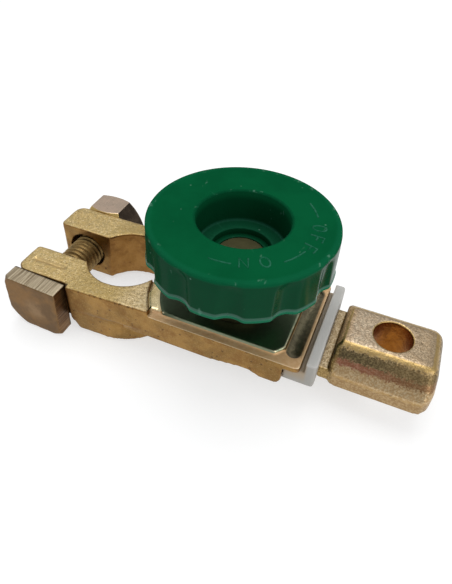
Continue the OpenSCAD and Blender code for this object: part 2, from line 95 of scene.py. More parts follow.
# heights of the wall's points, close together where the hollows end and above the bead
WALL_LEVELS = (
    32.6, 32.3, 32.0, 31.7, 31.4, 31.1, 30.8, 30.4, 29.8, 29.0,
    28.2, 27.4, 26.6, 26.0, 25.6, 25.4, 25.25, 25.1, 24.97, 24.85,
)
# hollows: half their angle in degrees, the height of the ball-shaped end and the softness of the edge in mm
HOLLOW_ANGLE = 7.2
BALL_Z = 30.7
HOLLOW_SOFT = 0.28
# the wall over the bead: where it starts to draw in, over what height and how far, and where that ends
BEAD_Z = 24.85
BEAD_RISE = 0.55
BEAD_INSET = 0.18
WAIST_END = 30.5
WAIST_FADE = 5.0
# the skirt, in mm: where the hollows fade in from its core side, over what distance, and a level below it
SKIRT_INNER_R = 16.9
SKIRT_WALL = 1.1
SKIRT_END = 23.9
# ribs in the core under the knob, in mm: distance from the axis, height of the middle, and size
RIB_R = 13.85
RIB_Z = 28.4
RIB_SIZE = (5.4, 1.4, 5.6)

# contact screw, in mm: the thread's ends and radii, then neck, shoulder, shank and top as radius and height
SCREW_ENDS = (3.5, 11.95)
SCREW_RADII = (4.97, 4.25)
SHANK_OUTLINE = (
    (0.001, 11.8), (4.35, 11.8), (4.35, 14.2), (6.3, 14.2), (6.6, 14.45), (6.6, 17.0),
    (5.0, 17.0), (5.0, 24.45), (4.75, 24.7), (3.2, 24.68), (0.001, 24.66),
)

# lettering, in mm and degrees: half a letter's height and the height of the strokes' upper side
LETTER_HALF = 1.3
LETTERING_TOP = 33.6
# each word with the angle of its first letter, the step to the next one and the distance from the axis
WORDS = (("ON", -53.0, -16.0, 13.5), ("OFF", 11.0, -13.0, 14.5))
# arcs beside the words: first angle, last angle and distance from the axis
ARCS = ((-95, -78, 14.0), (-40, -20, 14.5), (44, 25, 14.4))

# where the pad starts along X, how high its cast sides reach, and the size of the cast waves, in metres
PAD_START = 0.0088
PAD_SIDE_TOP = 0.011
CAST_WAVE = 0.0016

# clamp bolt, in mm: the head's inner face, the thread's ends along Y and radii, and the tip's chamfer
HEAD_BACK = -12.8
THREAD_ENDS = (-12.95, 22.05)
THREAD_RADII = (3.97, 3.56)
TIP_R = 4.0
TIP_START = 21.25

# the lug's block, in mm: where its ends begin to draw in, over what length and how far
FAR_START = 68.6
FAR_ROLL = 2.0
NEAR_START = 51.7
NEAR_ROLL = 1.0
NECK_END = 50.4
# the heights from which the near end and the sideways draw set in, and over what height, in mm
NEAR_Z = 10.6
NEAR_FADE = 1.5
ACROSS_Z = 9.0
ACROSS_FADE = 4.0
# the block's middle height, half its width and half its height, in mm, and the share drawn in at its foot
BLOCK_Z = 10.2
BLOCK_HALF_W = 9.8
BLOCK_HALF_H = 4.7
FOOT_SHARE = 0.12
# the lug's soft parts, in metres: past the hole's crisp rim, the cast end, the tip and the upper edges
RIM_R = 0.0045
END_X = 0.0676
END_Z = 0.0105
TIP_X = 0.0692
EDGE_X = 0.0505
EDGE_Z = 0.0138
# where the end's stretch starts, and the depth and size of the cast waves, in metres
FIXED_X = 0.0660
LUG_GRAIN = 0.02 * MM
LUG_WAVE = 0.0012

# steps round one turn of a thread, one lobe of the knob and the contact screw's shank
THREAD_STEPS = 36
LOBE_STEPS = 36
SHANK_STEPS = 96
# mesh size of the small rounded pieces and of the insulator, in metres
FINE_VOXEL = 0.16 * MM
NYLON_VOXEL = 0.22 * MM

# the photograph's size and the point of it that lies straight ahead of the lens, in pixels
IMAGE_W = 452
IMAGE_H = 584
AHEAD_X = 218.59
AHEAD_Y = 273.39
# the camera's place in metres, and its azimuth, downward tilt and roll in degrees
EYE = (0.052857, -0.076398, 0.091286)
EYE_TURNS = (21.442, 42.109, 2.638)
# the lamps' places and sizes in metres, and the point that they face
KEY_LAMP = ((-0.02, 0.11, 0.55), 0.42)
FILL_LAMP = ((0.42, -0.18, 0.30), 0.34)
LIT_POINT = (0.02, 0.0, 0.01)
# the fill lamp's power as a share of the key lamp's
FILL_SHARE = 0.45
# half the floor's side and the gap that keeps it clear of the switch, in metres
FLOOR_HALF = 3.0
FLOOR_GAP = 0.02 * MM


def colour(title, note, value):
    """A colour setting."""
    return FloatVectorProperty(
        name=title, description=note, subtype="COLOR", size=3, min=0.0, max=1.0, default=value
    )


def length(title, note, value):
    """A length setting, in metres."""
    return FloatProperty(
        name=title, description=note, default=value, min=0.0, precision=5, unit="LENGTH"
    )


class CastingSettings(bpy.types.PropertyGroup):
    """Finish of the clamp casting."""

    top: colour("Top", "Sandy brass of the ground upper faces", (0.515, 0.380, 0.165))
    # the sides' brown is tarnish darkened with painted shade
    side: colour("Sides", "Brown tarnished brass of the cast sides", (0.295, 0.168, 0.050))
    # the seat's dark green is a painted reflection of the knob's underside
    seat: colour("Contact seat", "Dark polished face of the machined seat", (0.30, 0.34, 0.22))
    ledge: colour("Ledge", "Pinkish brass of the pad's ledge", (0.71, 0.435, 0.205))
    voxel: length("Mesh size", "Spacing of the casting's rounded mesh", 0.25 * MM)
    grain: length("Grain", "Depth of the cast skin", 0.03 * MM)


class BoltSettings(bpy.types.PropertyGroup):
    """Clamp bolt and nut."""

    head: colour("Head", "Brown brass of the bolt head", (0.178, 0.098, 0.036))
    thread: colour("Thread", "Olive brass of the thread", (0.34, 0.22, 0.085))
    nut: colour("Nut", "Pinkish brass of the nut", (0.60, 0.46, 0.35))
    pitch: length("Thread pitch", "Pitch of the clamp bolt", 1.25 * MM)


class KnobSettings(bpy.types.PropertyGroup):
    """Fluted screw knob."""

    body: colour("Plastic", "Green of the moulded knob", (0.0022, 0.076, 0.0265))
    lobes: IntProperty(
        name="Lobes", description="Number of lobes around the skirt", default=12, min=6
    )
    hollow: length("Hollow", "Depth of the hollows between the lobes", 1.0 * MM)
    stroke: length("Lettering", "Radius of the raised strokes of the lettering", 0.20 * MM)
    pitch: length("Screw pitch", "Pitch of the contact screw", 1.5 * MM)


class LugSettings(bpy.types.PropertyGroup):
    """Cable lug."""

    flat: colour("Flat", "Plated brass of the flat top", (0.42, 0.335, 0.235))
    gold: colour("Edges", "Golden brass of worn edges", (0.44, 0.30, 0.105))
    voxel: length("Mesh size", "Spacing of the lug's rounded mesh", 0.2 * MM)
    soft: IntProperty(name="Softness", description="Smoothing of the block's edges", default=36, min=0)


class InsulatorSettings(bpy.types.PropertyGroup):
    """Nylon insulator."""

    nylon: colour("Nylon", "Milky white nylon", (0.395, 0.378, 0.345))


class StageSettings(bpy.types.PropertyGroup):
    """Floor, light and camera."""

    floor: colour("Floor", "Pale floor", (0.86, 0.86, 0.86))
    key: FloatProperty(
        name="Key light", description="Power of the soft overhead light", default=1.5, min=0.0
    )
    sky: FloatProperty(
        name="Surroundings", description="Strength of the even surrounding light", default=0.60, min=0.0
    )
    lens: FloatProperty(
        name="Lens", description="Focal length of the camera in mm", default=31.682, min=1.0
    )


SETTINGS = {
    "switch_casting": CastingSettings,
    "switch_bolt": BoltSettings,
    "switch_knob": KnobSettings,
    "switch_lug": LugSettings,
    "switch_insulator": InsulatorSettings,
    "switch_stage": StageSettings,
}


class Wiring:
    """Adds linked nodes to one node tree. A mask runs from 0 to 1."""

    def __init__(self, tree):
        self.tree = tree

    def put(self, target, value):
        if isinstance(value, bpy.types.NodeSocket):
            self.tree.links.new(value, target)
        else:
            target.default_value = value

    def node(self, kind, values=None, **settings):
        made = self.tree.nodes.new("ShaderNode" + kind)
        for key, value in settings.items():
            setattr(made, key, value)
        for key, value in (values or {}).items():
            self.put(made.inputs[key], value)
        return made

    def calc(self, operation, a, b=0.0, c=0.0):
        return self.node("Math", {0: a, 1: b, 2: c}, operation=operation).outputs[0]

    def times(self, a, b):
        return self.calc("MULTIPLY", a, b)

    def inverse(self, mask):
        return self.calc("SUBTRACT", 1.0, mask)

    def ramp(self, value, low, high, to_low=0.0, to_high=1.0):
        """A soft step from to_low to to_high while the value goes from low to high."""
        limits = {0: value, 1: low, 2: high, 3: to_low, 4: to_high}
        return self.node("MapRange", limits, interpolation_type="SMOOTHSTEP").outputs[0]

    def between(self, mask, low, high):
        """A value that goes from low to high with a mask."""
        return self.ramp(mask, 0.0, 1.0, low, high)

    def rise(self, distance, low, high):
        """A mask that goes from 0 at low to 1 at high, both in mm."""
        return self.ramp(distance, low * MM, high * MM)

    def band(self, distance, start, full, last, end):
        """A mask that rises from start to full and falls from last to end, all in mm."""
        return self.times(self.rise(distance, start, full), self.rise(distance, end, last))

    def mix(self, factor, a, b):
        """Colour a where the factor is 0 and b where it is 1."""
        a, b = (c if isinstance(c, bpy.types.NodeSocket) else rgba(c) for c in (a, b))
        return self.node("Mix", {0: factor, 6: a, 7: b}, data_type="RGBA").outputs[2]

    def tint(self, colour, mask, share, other):
        """A colour with a share of another one where the mask is."""
        return self.mix(self.times(mask, share), colour, other)

    def blend_value(self, factor, a, b):
        """Number a where the factor is 0 and b where it is 1."""
        return self.node("Mix", {0: factor, 2: a, 3: b}, data_type="FLOAT").outputs[0]

    def use(self, tree, **values):
        made = self.tree.nodes.new("ShaderNodeGroup")
        made.node_tree = tree
        for key, value in values.items():
            self.put(made.inputs[key.replace("_", " ")], value)
        return made.outputs

    def coords(self):
        return self.node("TexCoord").outputs["Object"]

    def facing(self):
        """The surface's direction in object space, as x, y and z."""
        return self.node("SeparateXYZ", {0: self.node("TexCoord").outputs["Normal"]}).outputs

    def place(self):
        """The point on the surface in object space, as x, y and z."""
        return self.node("SeparateXYZ", {0: self.coords()}).outputs

    def mottle(self, scale, detail, low, high, stretch=(1.0, 1.0, 1.0)):
        """A mask of soft blotches."""
        values = {"Scale": scale, "Detail": detail, "Low": low, "High": high, "Stretch": stretch}
        return self.use(mottle_group(), **values)["Mask"]

    def specks(self, scale, size, amount):
        """A mask of scattered round specks."""
        return self.use(speck_group(), Scale=scale, Size=size, Amount=amount)["Mask"]

    def wear_and_light(self, start, full):
        """Masks of raised edges, for wear and painted highlights, and of hollows, for dirt and painted
        shade.
        """
        return self.use(edge_group(), Start=start, Full=full)

    def around(self, x, spacing=0.5):
        """The distance from an upright axis at x, and rings about it with a spacing in mm."""
        values = {"Centre": (x, 0.0, 0.0), "Spacing": spacing * MM, "Squash": (1.0, 1.0, 0.0)}
        return self.use(ring_group(), **values)

    def zone(self, low, high, soft):
        """A mask of a block given by two corners and the softness of its sides, in mm."""
        corners = {"From": [c * MM for c in low], "To": [c * MM for c in high]}
        return self.use(zone_group(), Soft=soft * MM, **corners)["Mask"]


def rgba(value):
    return (*value[:3], 1.0)


def new_group(name, inputs, outputs):
    """A shader node group with number inputs (name: default) and outputs (name: socket type)."""
    tree = bpy.data.node_groups.new(name, "ShaderNodeTree")
    for key, value in inputs.items():
        kind = "NodeSocketVector" if isinstance(value, tuple) else "NodeSocketFloat"
        socket = tree.interface.new_socket(name=key, in_out="INPUT", socket_type=kind)
        socket.default_value = value
    for key, kind in outputs.items():
        tree.interface.new_socket(name=key, in_out="OUTPUT", socket_type="NodeSocket" + kind)
    source = tree.nodes.new("NodeGroupInput")
    sink = tree.nodes.new("NodeGroupOutput")
    return tree, Wiring(tree), source.outputs, sink.inputs


def mottle_group():
    """Soft blotches: a noise stretched by Stretch and cut to a mask between Low and High."""
    if "Mottle" in bpy.data.node_groups:
        return bpy.data.node_groups["Mottle"]
    tree, w, given, out = new_group(
        "Mottle",
        {"Scale": 500.0, "Detail": 3.0, "Low": 0.4, "High": 0.6, "Stretch": (1.0, 1.0, 1.0)},
        {"Mask": "Float"},
    )
    where = w.node("VectorMath", {0: w.coords(), 1: given["Stretch"]}, operation="MULTIPLY")
    values = {"Scale": given["Scale"], "Detail": given["Detail"], "Roughness": 0.6}
    cloud = w.node("TexNoise", {"Vector": where.outputs[0], **values})
    w.put(out["Mask"], w.ramp(cloud.outputs[0], given["Low"], given["High"]))
    return tree


def speck_group():
    """Scattered round specks: Size is their share of a cell, Amount the share of cells that hold one."""
    if "Specks" in bpy.data.node_groups:
        return bpy.data.node_groups["Specks"]
    tree, w, given, out = new_group(
        "Specks", {"Scale": 500.0, "Size": 0.25, "Amount": 0.3}, {"Mask": "Float"}
    )
    cells = w.node("TexVoronoi", {"Vector": w.coords(), "Scale": given["Scale"], "Randomness": 1.0})
    pick = w.node("SeparateXYZ", {0: cells.outputs["Color"]}).outputs[0]
    chosen = w.calc("LESS_THAN", pick, given["Amount"])
    edge = w.times(given["Size"], 0.6)
    dot = w.ramp(cells.outputs["Distance"], given["Size"], edge)
    w.put(out["Mask"], w.times(chosen, dot))
    return tree


def edge_group():
    """Masks of raised edges, which get wear and painted highlights, and of hollows, which get dirt and
    painted shade, from the curvature of the mesh.
    """
    if "Edge wear" in bpy.data.node_groups:
        return bpy.data.node_groups["Edge wear"]
    tree, w, given, out = new_group(
        "Edge wear", {"Start": 0.015, "Full": 0.06}, {"Worn and lit": "Float", "Hollow": "Float"}
    )
    bend = w.calc("SUBTRACT", w.node("NewGeometry").outputs["Pointiness"], 0.5)
    rough = w.node("TexNoise", {"Vector": w.coords(), "Scale": 900.0, "Detail": 3.0}).outputs[0]
    shift = w.times(w.calc("SUBTRACT", rough, 0.5), 0.04)
    w.put(out["Worn and lit"], w.ramp(w.calc("ADD", bend, shift), given["Start"], given["Full"]))
    low = w.calc("SUBTRACT", w.times(bend, -1.0), shift)
    w.put(out["Hollow"], w.ramp(low, given["Start"], given["Full"]))
    return tree


def ring_group():
    """Fine rings that a lathe leaves, about the axis through Centre along which Squash is 0."""
    if "Turned rings" in bpy.data.node_groups:
        return bpy.data.node_groups["Turned rings"]
    tree, w, given, out = new_group(
        "Turned rings",
        {"Centre": (0.0, 0.0, 0.0), "Spacing": 0.0005, "Squash": (1.0, 0.0, 1.0)},
        {"Height": "Float", "Distance": "Float"},
    )
    off = w.node("VectorMath", {0: w.coords(), 1: given["Centre"]}, operation="SUBTRACT").outputs[0]
    flat = w.node("VectorMath", {0: off, 1: given["Squash"]}, operation="MULTIPLY").outputs[0]
    far = w.node("VectorMath", {0: flat}, operation="LENGTH").outputs["Value"]
    wander = w.node("TexNoise", {"Vector": w.coords(), "Scale": 300.0, "Detail": 2.0}).outputs[0]
    phase = w.calc("ADD", w.calc("DIVIDE", far, given["Spacing"]), w.times(wander, 4.5))
    wave = w.calc("SINE", w.times(phase, 2 * math.pi))
    w.put(out["Height"], w.calc("MULTIPLY_ADD", wave, 0.5, 0.5))
    w.put(out["Distance"], far)
    return tree


def zone_group():
    """A block of space, soft at its sides: 1 inside From and To, 0 outside."""
    if "Zone" in bpy.data.node_groups:
        return bpy.data.node_groups["Zone"]
    tree, w, given, out = new_group(
        "Zone", {"From": (-1.0, -1.0, -1.0), "To": (1.0, 1.0, 1.0), "Soft": 0.00008}, {"Mask": "Float"}
    )
    point = w.place()
    low = w.node("SeparateXYZ", {0: given["From"]}).outputs
    high = w.node("SeparateXYZ", {0: given["To"]}).outputs
    mask = None
    for i in range(3):
        above = w.ramp(w.calc("SUBTRACT", point[i], low[i]), 0.0, given["Soft"])
        below = w.ramp(w.calc("SUBTRACT", high[i], point[i]), 0.0, given["Soft"])
        both = w.times(above, below)
        mask = both if mask is None else w.times(mask, both)
    w.put(out["Mask"], mask)
    return tree


def start_material(name, metallic, rough, **plain):
    """A material with its Principled shader; plain holds further values by socket name."""
    made = bpy.data.materials.new(name)
    made.use_nodes = True
    made.node_tree.nodes.clear()
    w = Wiring(made.node_tree)
    shader = w.node("BsdfPrincipled", {"Metallic": metallic, "Roughness": rough})
    for key, value in plain.items():
        shader.inputs[key.replace("_", " ")].default_value = value
    w.node("OutputMaterial", {0: shader.outputs[0]})
    return made, w, shader.inputs


def bump(w, sockets, height, depth, strength):
    """Feeds a height mask into the shader's normal; depth is the real depth in metres."""
    made = w.node("Bump", {"Height": height, "Distance": depth, "Strength": strength})
    w.put(sockets["Normal"], made.outputs[0])


def shades(colour, low, high):
    """A darker and a lighter shade of a colour."""
    return [c * low for c in colour], [min(1.0, c * high) for c in colour]


def casting_top(w, s, m):
    """Ground, sandy upper faces: browner at the jaw's middle, paler and glittering by the pad."""
    top = w.mix(m.grain, *shades(s.top, 0.88, 1.10))
    top = w.tint(top, m.cloud, 0.35, (0.50, 0.345, 0.125))
    top = w.tint(top, m.glint, 0.62, (0.90, 0.74, 0.46))
    top = w.tint(top, w.specks(1700.0, 0.34, 0.22), 0.80, (0.235, 0.115, 0.032))
    dull = w.band(m.at[0], -11.0, -4.0, 4.0, 9.0)
    top = w.tint(top, dull, 0.55, (0.33, 0.235, 0.085))
    # by the pad the top is paler with painted glitter and highlights
    highlight_by_pad = w.times(w.rise(m.at[0], 2.0, 9.0), w.rise(m.at[1], 4.0, -2.0))
    return w.tint(top, highlight_by_pad, 0.45, w.mix(m.grain, (0.34, 0.255, 0.155), (0.78, 0.66, 0.46)))


def casting_side(w, s, m):
    """Brown, blotched and pitted cast sides, tarnished and darkened with painted shade."""
    side = w.mix(m.cloud, *shades(s.side, 0.80, 1.22))
    side = w.tint(side, m.blotch, 0.55, (0.235, 0.112, 0.034))
    side = w.tint(side, m.glint, 0.22, (0.56, 0.38, 0.17))
    return w.tint(side, m.pits, 0.62, (0.075, 0.04, 0.02))


def casting_stains(w, m, body):
    """Bore warmed with painted reflected light, worn and nicked edges, hollows darkened with dirt and
    painted shade, and painted shadow beside and behind the bolt head.
    """
    # the bore's walls are warmed with painted reflected light
    bore = w.times(w.rise(w.around(0.0)["Distance"], 10.6, 10.0), m.steep)
    body = w.tint(body, bore, 0.7, w.mix(m.cloud, (0.27, 0.125, 0.030), (0.36, 0.185, 0.055)))
    body = w.tint(body, m.edge["Worn and lit"], 0.60, (0.36, 0.195, 0.062))
    brim = w.times(w.rise(m.at[2], 12.25, 12.70), m.steep)
    body = w.tint(body, brim, 0.60, (0.29, 0.140, 0.040))
    nicks = w.times(w.mottle(1300.0, 2.0, 0.54, 0.62), w.calc("MAXIMUM", m.edge["Worn and lit"], brim))
    body = w.tint(body, nicks, 0.75, (0.085, 0.045, 0.020))
    # hollows are darkened with dirt and painted shade
    body = w.tint(body, m.edge["Hollow"], 0.55, (0.16, 0.085, 0.03))
    # painted shadow on the ear beside the bolt head, and a darker painted shadow behind it
    beside_head = w.times(w.rise(m.at[0], -4.5, -7.8), w.rise(m.at[1], -11.2, -12.2))
    body = w.tint(body, w.times(beside_head, m.steep), 0.45, (0.15, 0.075, 0.028))
    return w.tint(body, w.zone(*BEHIND_HEAD), 0.85, (0.035, 0.020, 0.010))


def casting_pad(w, s, m, body):
    """Pinkish ledge with painted highlights on its edges, brassy land, seat dark and greenish with a
    painted reflection of the knob and a painted highlight on its edge, and trough darkened with painted
    shade and a painted reflection of the knob.
    """
    ledge = w.tint(s.ledge, m.cloud, 0.4, (0.53, 0.305, 0.145))
    ledge = w.tint(ledge, m.grain, 0.3, (0.83, 0.61, 0.37))
    # the ledge's raised edges get a painted highlight
    ledge = w.tint(ledge, m.edge["Worn and lit"], 0.8, (0.88, 0.70, 0.45))
    body = w.mix(m.pad, body, ledge)
    body = w.mix(m.land, body, w.mix(m.cloud, (0.55, 0.43, 0.20), (0.78, 0.64, 0.37)))
    # the seat's colour is a painted reflection of the knob's dark green underside, darker towards the clamp
    polished = w.mix(w.rise(m.at[0], 13.5, 22.5), (0.055, 0.075, 0.045), s.seat)
    polished = w.tint(polished, m.streak, 0.14, (0.10, 0.13, 0.08))
    polished = w.tint(polished, m.fine, 0.025, (0.22, 0.26, 0.16))
    # the seat's edge is a bright line: a ground burr with a painted highlight
    polished = w.mix(w.ramp(m.edge["Worn and lit"], 0.35, 1.0, 0.0, 0.9), polished, (0.95, 0.80, 0.52))
    body = w.mix(m.seat, body, polished)
    # the trough is darkened with painted shade and a painted reflection of the knob
    return w.mix(m.trough, body, w.mix(m.grain, (0.15, 0.13, 0.08), (0.22, 0.19, 0.115)))


def cast_brass(s):
    """Sand-cast brass, ground on top, with the pad's polished seat, land, ledge and trough."""
    made, w, out = start_material("Cast brass", 1.0, 0.45)
    face_up = w.facing()[2]
    up = w.ramp(face_up, 0.55, 0.85)
    raised = w.zone(*SEAT_BLOCK)
    from_knob = w.around(KNOB_X)["Distance"]
    m = SimpleNamespace(
        at=w.place(),
        steep=w.inverse(up),
        edge=w.wear_and_light(0.012, 0.055),
        fine=w.mottle(2600.0, 2.0, 0.35, 0.65),
        grain=w.mottle(1150.0, 3.0, 0.38, 0.64),
        glint=w.mottle(3600.0, 2.0, 0.52, 0.66),
        cloud=w.mottle(140.0, 4.0, 0.36, 0.64),
        blotch=w.mottle(330.0, 5.0, 0.45, 0.68),
        streak=w.mottle(420.0, 3.0, 0.42, 0.62, (3.2, -2.6, 0.5)),
        pits=w.specks(950.0, 0.29, 0.20),
        pad=w.times(w.zone(*PAD_BLOCK), w.ramp(face_up, 0.4, 0.8)),
        land=w.times(raised, w.rise(from_knob, LAND_R - 0.06, LAND_R + 0.06)),
        seat=w.times(raised, w.rise(from_knob, LAND_R + 0.06, LAND_R - 0.06)),
        trough=w.zone(*TROUGH_BLOCK),
    )
    # the sides are darker than the top: tarnish with painted shade
    body = w.mix(up, casting_side(w, s, m), casting_top(w, s, m))
    body = casting_stains(w, m, body)
    body = casting_pad(w, s, m, body)
    w.put(out["Base Color"], w.tint(body, w.zone(*MINUS_BLOCK), 0.75, (0.58, 0.42, 0.19)))
    matt = w.calc("SUBTRACT", w.times(m.pad, w.inverse(m.seat)), m.land)
    w.put(out["Metallic"], w.blend_value(matt, 1.0, 0.45))

    rough = w.blend_value(up, w.between(m.blotch, 0.40, 0.52), w.between(m.grain, 0.42, 0.56))
    rough = w.blend_value(m.pad, rough, 0.52)
    rough = w.blend_value(m.seat, rough, w.between(m.streak, 0.29, 0.33))
    rough = w.blend_value(m.land, rough, 0.24)
    w.put(out["Roughness"], w.blend_value(m.trough, rough, 0.36))

    skin = w.calc("ADD", w.times(m.grain, 0.6), w.times(m.fine, 0.4))
    skin = w.calc("SUBTRACT", skin, w.times(m.pits, 0.9))
    quiet = w.times(w.blend_value(m.seat, 1.0, 0.015), w.blend_value(m.pad, 1.0, 0.3))
    skin = w.times(skin, w.times(quiet, w.blend_value(up, 0.55, 1.0)))
    bump(w, out, skin, 0.05 * MM, 0.8)
    return made


def head_brass(s):
    """Brown turned front, milled flanks darkened with painted shade, and milled top lightened with painted
    light, of the square bolt head.
    """
    made, w, out = start_material("Bolt head brass", 1.0, 0.4)
    face = w.facing()
    edge = w.wear_and_light(0.012, 0.06)
    front = w.ramp(w.times(face[1], -1.0), 0.5, 0.8)
    up = w.ramp(face[2], 0.5, 0.85)
    milled = w.mottle(980.0, 4.0, 0.34, 0.66, (3.4, 0.10, 3.4))
    cloud = w.mottle(260.0, 5.0, 0.38, 0.66)
    # the lathe's rings lie a little off the bolt's axis
    rings = w.use(ring_group(), Centre=(BOLT_X + 0.0008, 0.0, BOLT_Z - 0.0006), Spacing=1.1 * MM)
    # the flanks are darkened with painted shade and the top lightened with painted light; both are milled
    # alike
    flank = w.mix(milled, (0.13, 0.066, 0.026), (0.26, 0.145, 0.060))
    top = w.mix(milled, (0.21, 0.160, 0.098), (0.46, 0.385, 0.27))
    turned = w.mix(cloud, *shades(s.head, 0.76, 1.36))
    turned = w.tint(turned, rings["Height"], 0.06, (0.27, 0.19, 0.12))
    core = w.times(w.rise(rings["Distance"], 4.2, 0.8), cloud)
    turned = w.tint(turned, core, 0.55, (0.34, 0.235, 0.135))
    body = w.mix(front, w.mix(up, flank, top), turned)
    body = w.tint(body, edge["Worn and lit"], 0.30, (0.30, 0.205, 0.115))
    # hollows are darkened with dirt and painted shade
    body = w.tint(body, edge["Hollow"], 0.7, (0.08, 0.05, 0.03))
    # painted shadow where the head meets the ear
    body = w.mix(w.rise(w.place()[1], -13.6, -13.1), body, (0.04, 0.024, 0.012))
    w.put(out["Base Color"], body)
    w.put(out["Roughness"], w.between(cloud, 0.40, 0.52))
    bump(w, out, w.blend_value(front, milled, w.times(rings["Height"], 0.08)), 0.04 * MM, 0.6)
    return made


def thread_brass(s):
    """Dark olive brass of a used thread, bright on its crests."""
    made, w, out = start_material("Thread brass", 1.0, 0.34)
    axis = w.use(ring_group(), Centre=(BOLT_X, 0.0, BOLT_Z))
    crest = w.rise(axis["Distance"], 3.62, 3.94)
    cloud = w.mottle(420.0, 4.0, 0.38, 0.66)
    dirt = w.mottle(1500.0, 3.0, 0.45, 0.7)
    body = w.mix(cloud, *shades(s.thread, 0.62, 1.0))
    body = w.tint(body, crest, 0.45, (0.40, 0.28, 0.115))
    body = w.tint(body, dirt, 0.35, (0.10, 0.07, 0.03))
    # the thread's roots are darkened with dirt and painted shade
    body = w.tint(body, w.wear_and_light(0.01, 0.09)["Hollow"], 0.35, (0.09, 0.055, 0.022))
    w.put(out["Base Color"], body)
    w.put(out["Roughness"], w.between(dirt, 0.46, 0.6))
    bump(w, out, dirt, 0.03 * MM, 0.5)
    return made


def nut_brass(s):
    """Smooth milled brass of the nut with golden chamfers, and faces towards the pad darkened with painted
    shade.
    """
    made, w, out = start_material("Nut brass", 1.0, 0.26)
    face = w.facing()
    milled = w.mottle(500.0, 3.0, 0.35, 0.65, (3.0, 0.3, 3.0))
    cloud = w.mottle(300.0, 5.0, 0.36, 0.66)
    body = w.mix(milled, *shades(s.nut, 0.95, 1.04))
    body = w.tint(body, cloud, 0.4, (0.50, 0.36, 0.26))
    body = w.tint(body, w.specks(900.0, 0.28, 0.12), 0.4, (0.25, 0.18, 0.12))
    # faces turned towards the pad are darkened with painted shade
    dark = w.mix(cloud, (0.048, 0.034, 0.024), (0.085, 0.060, 0.040))
    body = w.mix(w.ramp(face[0], 0.3, 0.7), body, dark)
    body = w.mix(w.ramp(w.calc("ABSOLUTE", face[1]), 0.25, 0.55), body, (0.58, 0.40, 0.14))
    body = w.tint(body, w.wear_and_light(0.012, 0.06)["Worn and lit"], 0.35, (0.74, 0.60, 0.42))
    w.put(out["Base Color"], body)
    w.put(out["Roughness"], w.between(cloud, 0.22, 0.36))
    bump(w, out, w.calc("ADD", milled, w.times(cloud, 0.6)), 0.008 * MM, 0.5)
    return made


def lug_flat(w, s, m):
    """Finely speckled flat top, browner towards its far end and its borders."""
    flat = w.mix(w.mottle(2500.0, 2.0, 0.46, 0.56), *shades(s.flat, 0.83, 1.34))
    flat = w.tint(flat, m.grain, 0.40, (0.30, 0.20, 0.115))
    flat = w.tint(flat, w.rise(m.at[0], 54.0, 69.0), 0.40, (0.32, 0.215, 0.105))
    border = w.calc("MAXIMUM", w.rise(w.calc("ABSOLUTE", m.at[1]), 4.6, 6.2), w.rise(m.at[0], 53.2, 52.2))
    flat = w.tint(flat, border, 0.40, (0.36, 0.215, 0.095))
    return w.mix(m.neck, flat, w.mix(m.curl, (0.33, 0.235, 0.125), (0.60, 0.48, 0.31)))


def lug_shoulder(w, s, m):
    """Bands along the shoulders, by height; the red and the dark one fade towards the far end."""
    fade = w.rise(m.at[0], 54.5, 67.5)
    pale = w.mix(m.curl, (0.42, 0.275, 0.135), (0.55, 0.415, 0.245))
    foot = w.mix(m.curl, (0.31, 0.195, 0.088), (0.43, 0.300, 0.155))
    pale = w.mix(w.rise(m.height, 9.4, 8.6), pale, foot)
    body = w.tint(pale, w.band(m.height, 8.6, 8.9, 9.1, 9.5), 0.6, (0.42, 0.27, 0.10))
    red = w.mix(m.curl, (0.25, 0.085, 0.050), (0.34, 0.145, 0.095))
    brown = w.mix(m.curl, (0.18, 0.085, 0.036), (0.27, 0.150, 0.070))
    body = w.tint(body, w.band(m.height, 11.2, 11.7, 12.4, 12.9), 0.85, w.mix(fade, red, brown))
    # a dark band below the top edge: painted shade, fading towards the far end
    dark = w.mix(m.curl, (0.072, 0.056, 0.030), (0.185, 0.138, 0.062))
    dark = w.tint(dark, fade, 0.75, w.mix(m.curl, (0.165, 0.110, 0.045), (0.26, 0.180, 0.085)))
    body = w.tint(body, w.band(m.height, 12.3, 12.9, 13.8, 14.25), 0.92, dark)
    return w.tint(body, w.rise(m.height, 13.9, 14.4), 0.75, s.gold)


def lug_neck(w, m, body):
    """Speckled golden neck, and the recess between it and the flat, lifted with painted light and dark at
    the front with painted shadow.
    """
    body = w.mix(m.neck, body, w.mix(m.curl, (0.22, 0.14, 0.05), (0.46, 0.32, 0.13)))
    recess = w.times(w.ramp(w.facing()[0], -0.35, -0.75), w.rise(m.height, 11.9, 12.8))
    recess = w.times(recess, w.rise(m.at[0], 53.0, 52.2))
    # the recess's golden brown is lifted with painted light against its shade, and its front gets a dark
    # painted shadow
    golden = w.mix(m.curl, (0.30, 0.18, 0.070), (0.56, 0.37, 0.17))
    inside = w.mix(w.rise(m.at[1], -5.0, -6.4), golden, (0.030, 0.032, 0.016))
    return w.tint(body, recess, 0.85, inside)


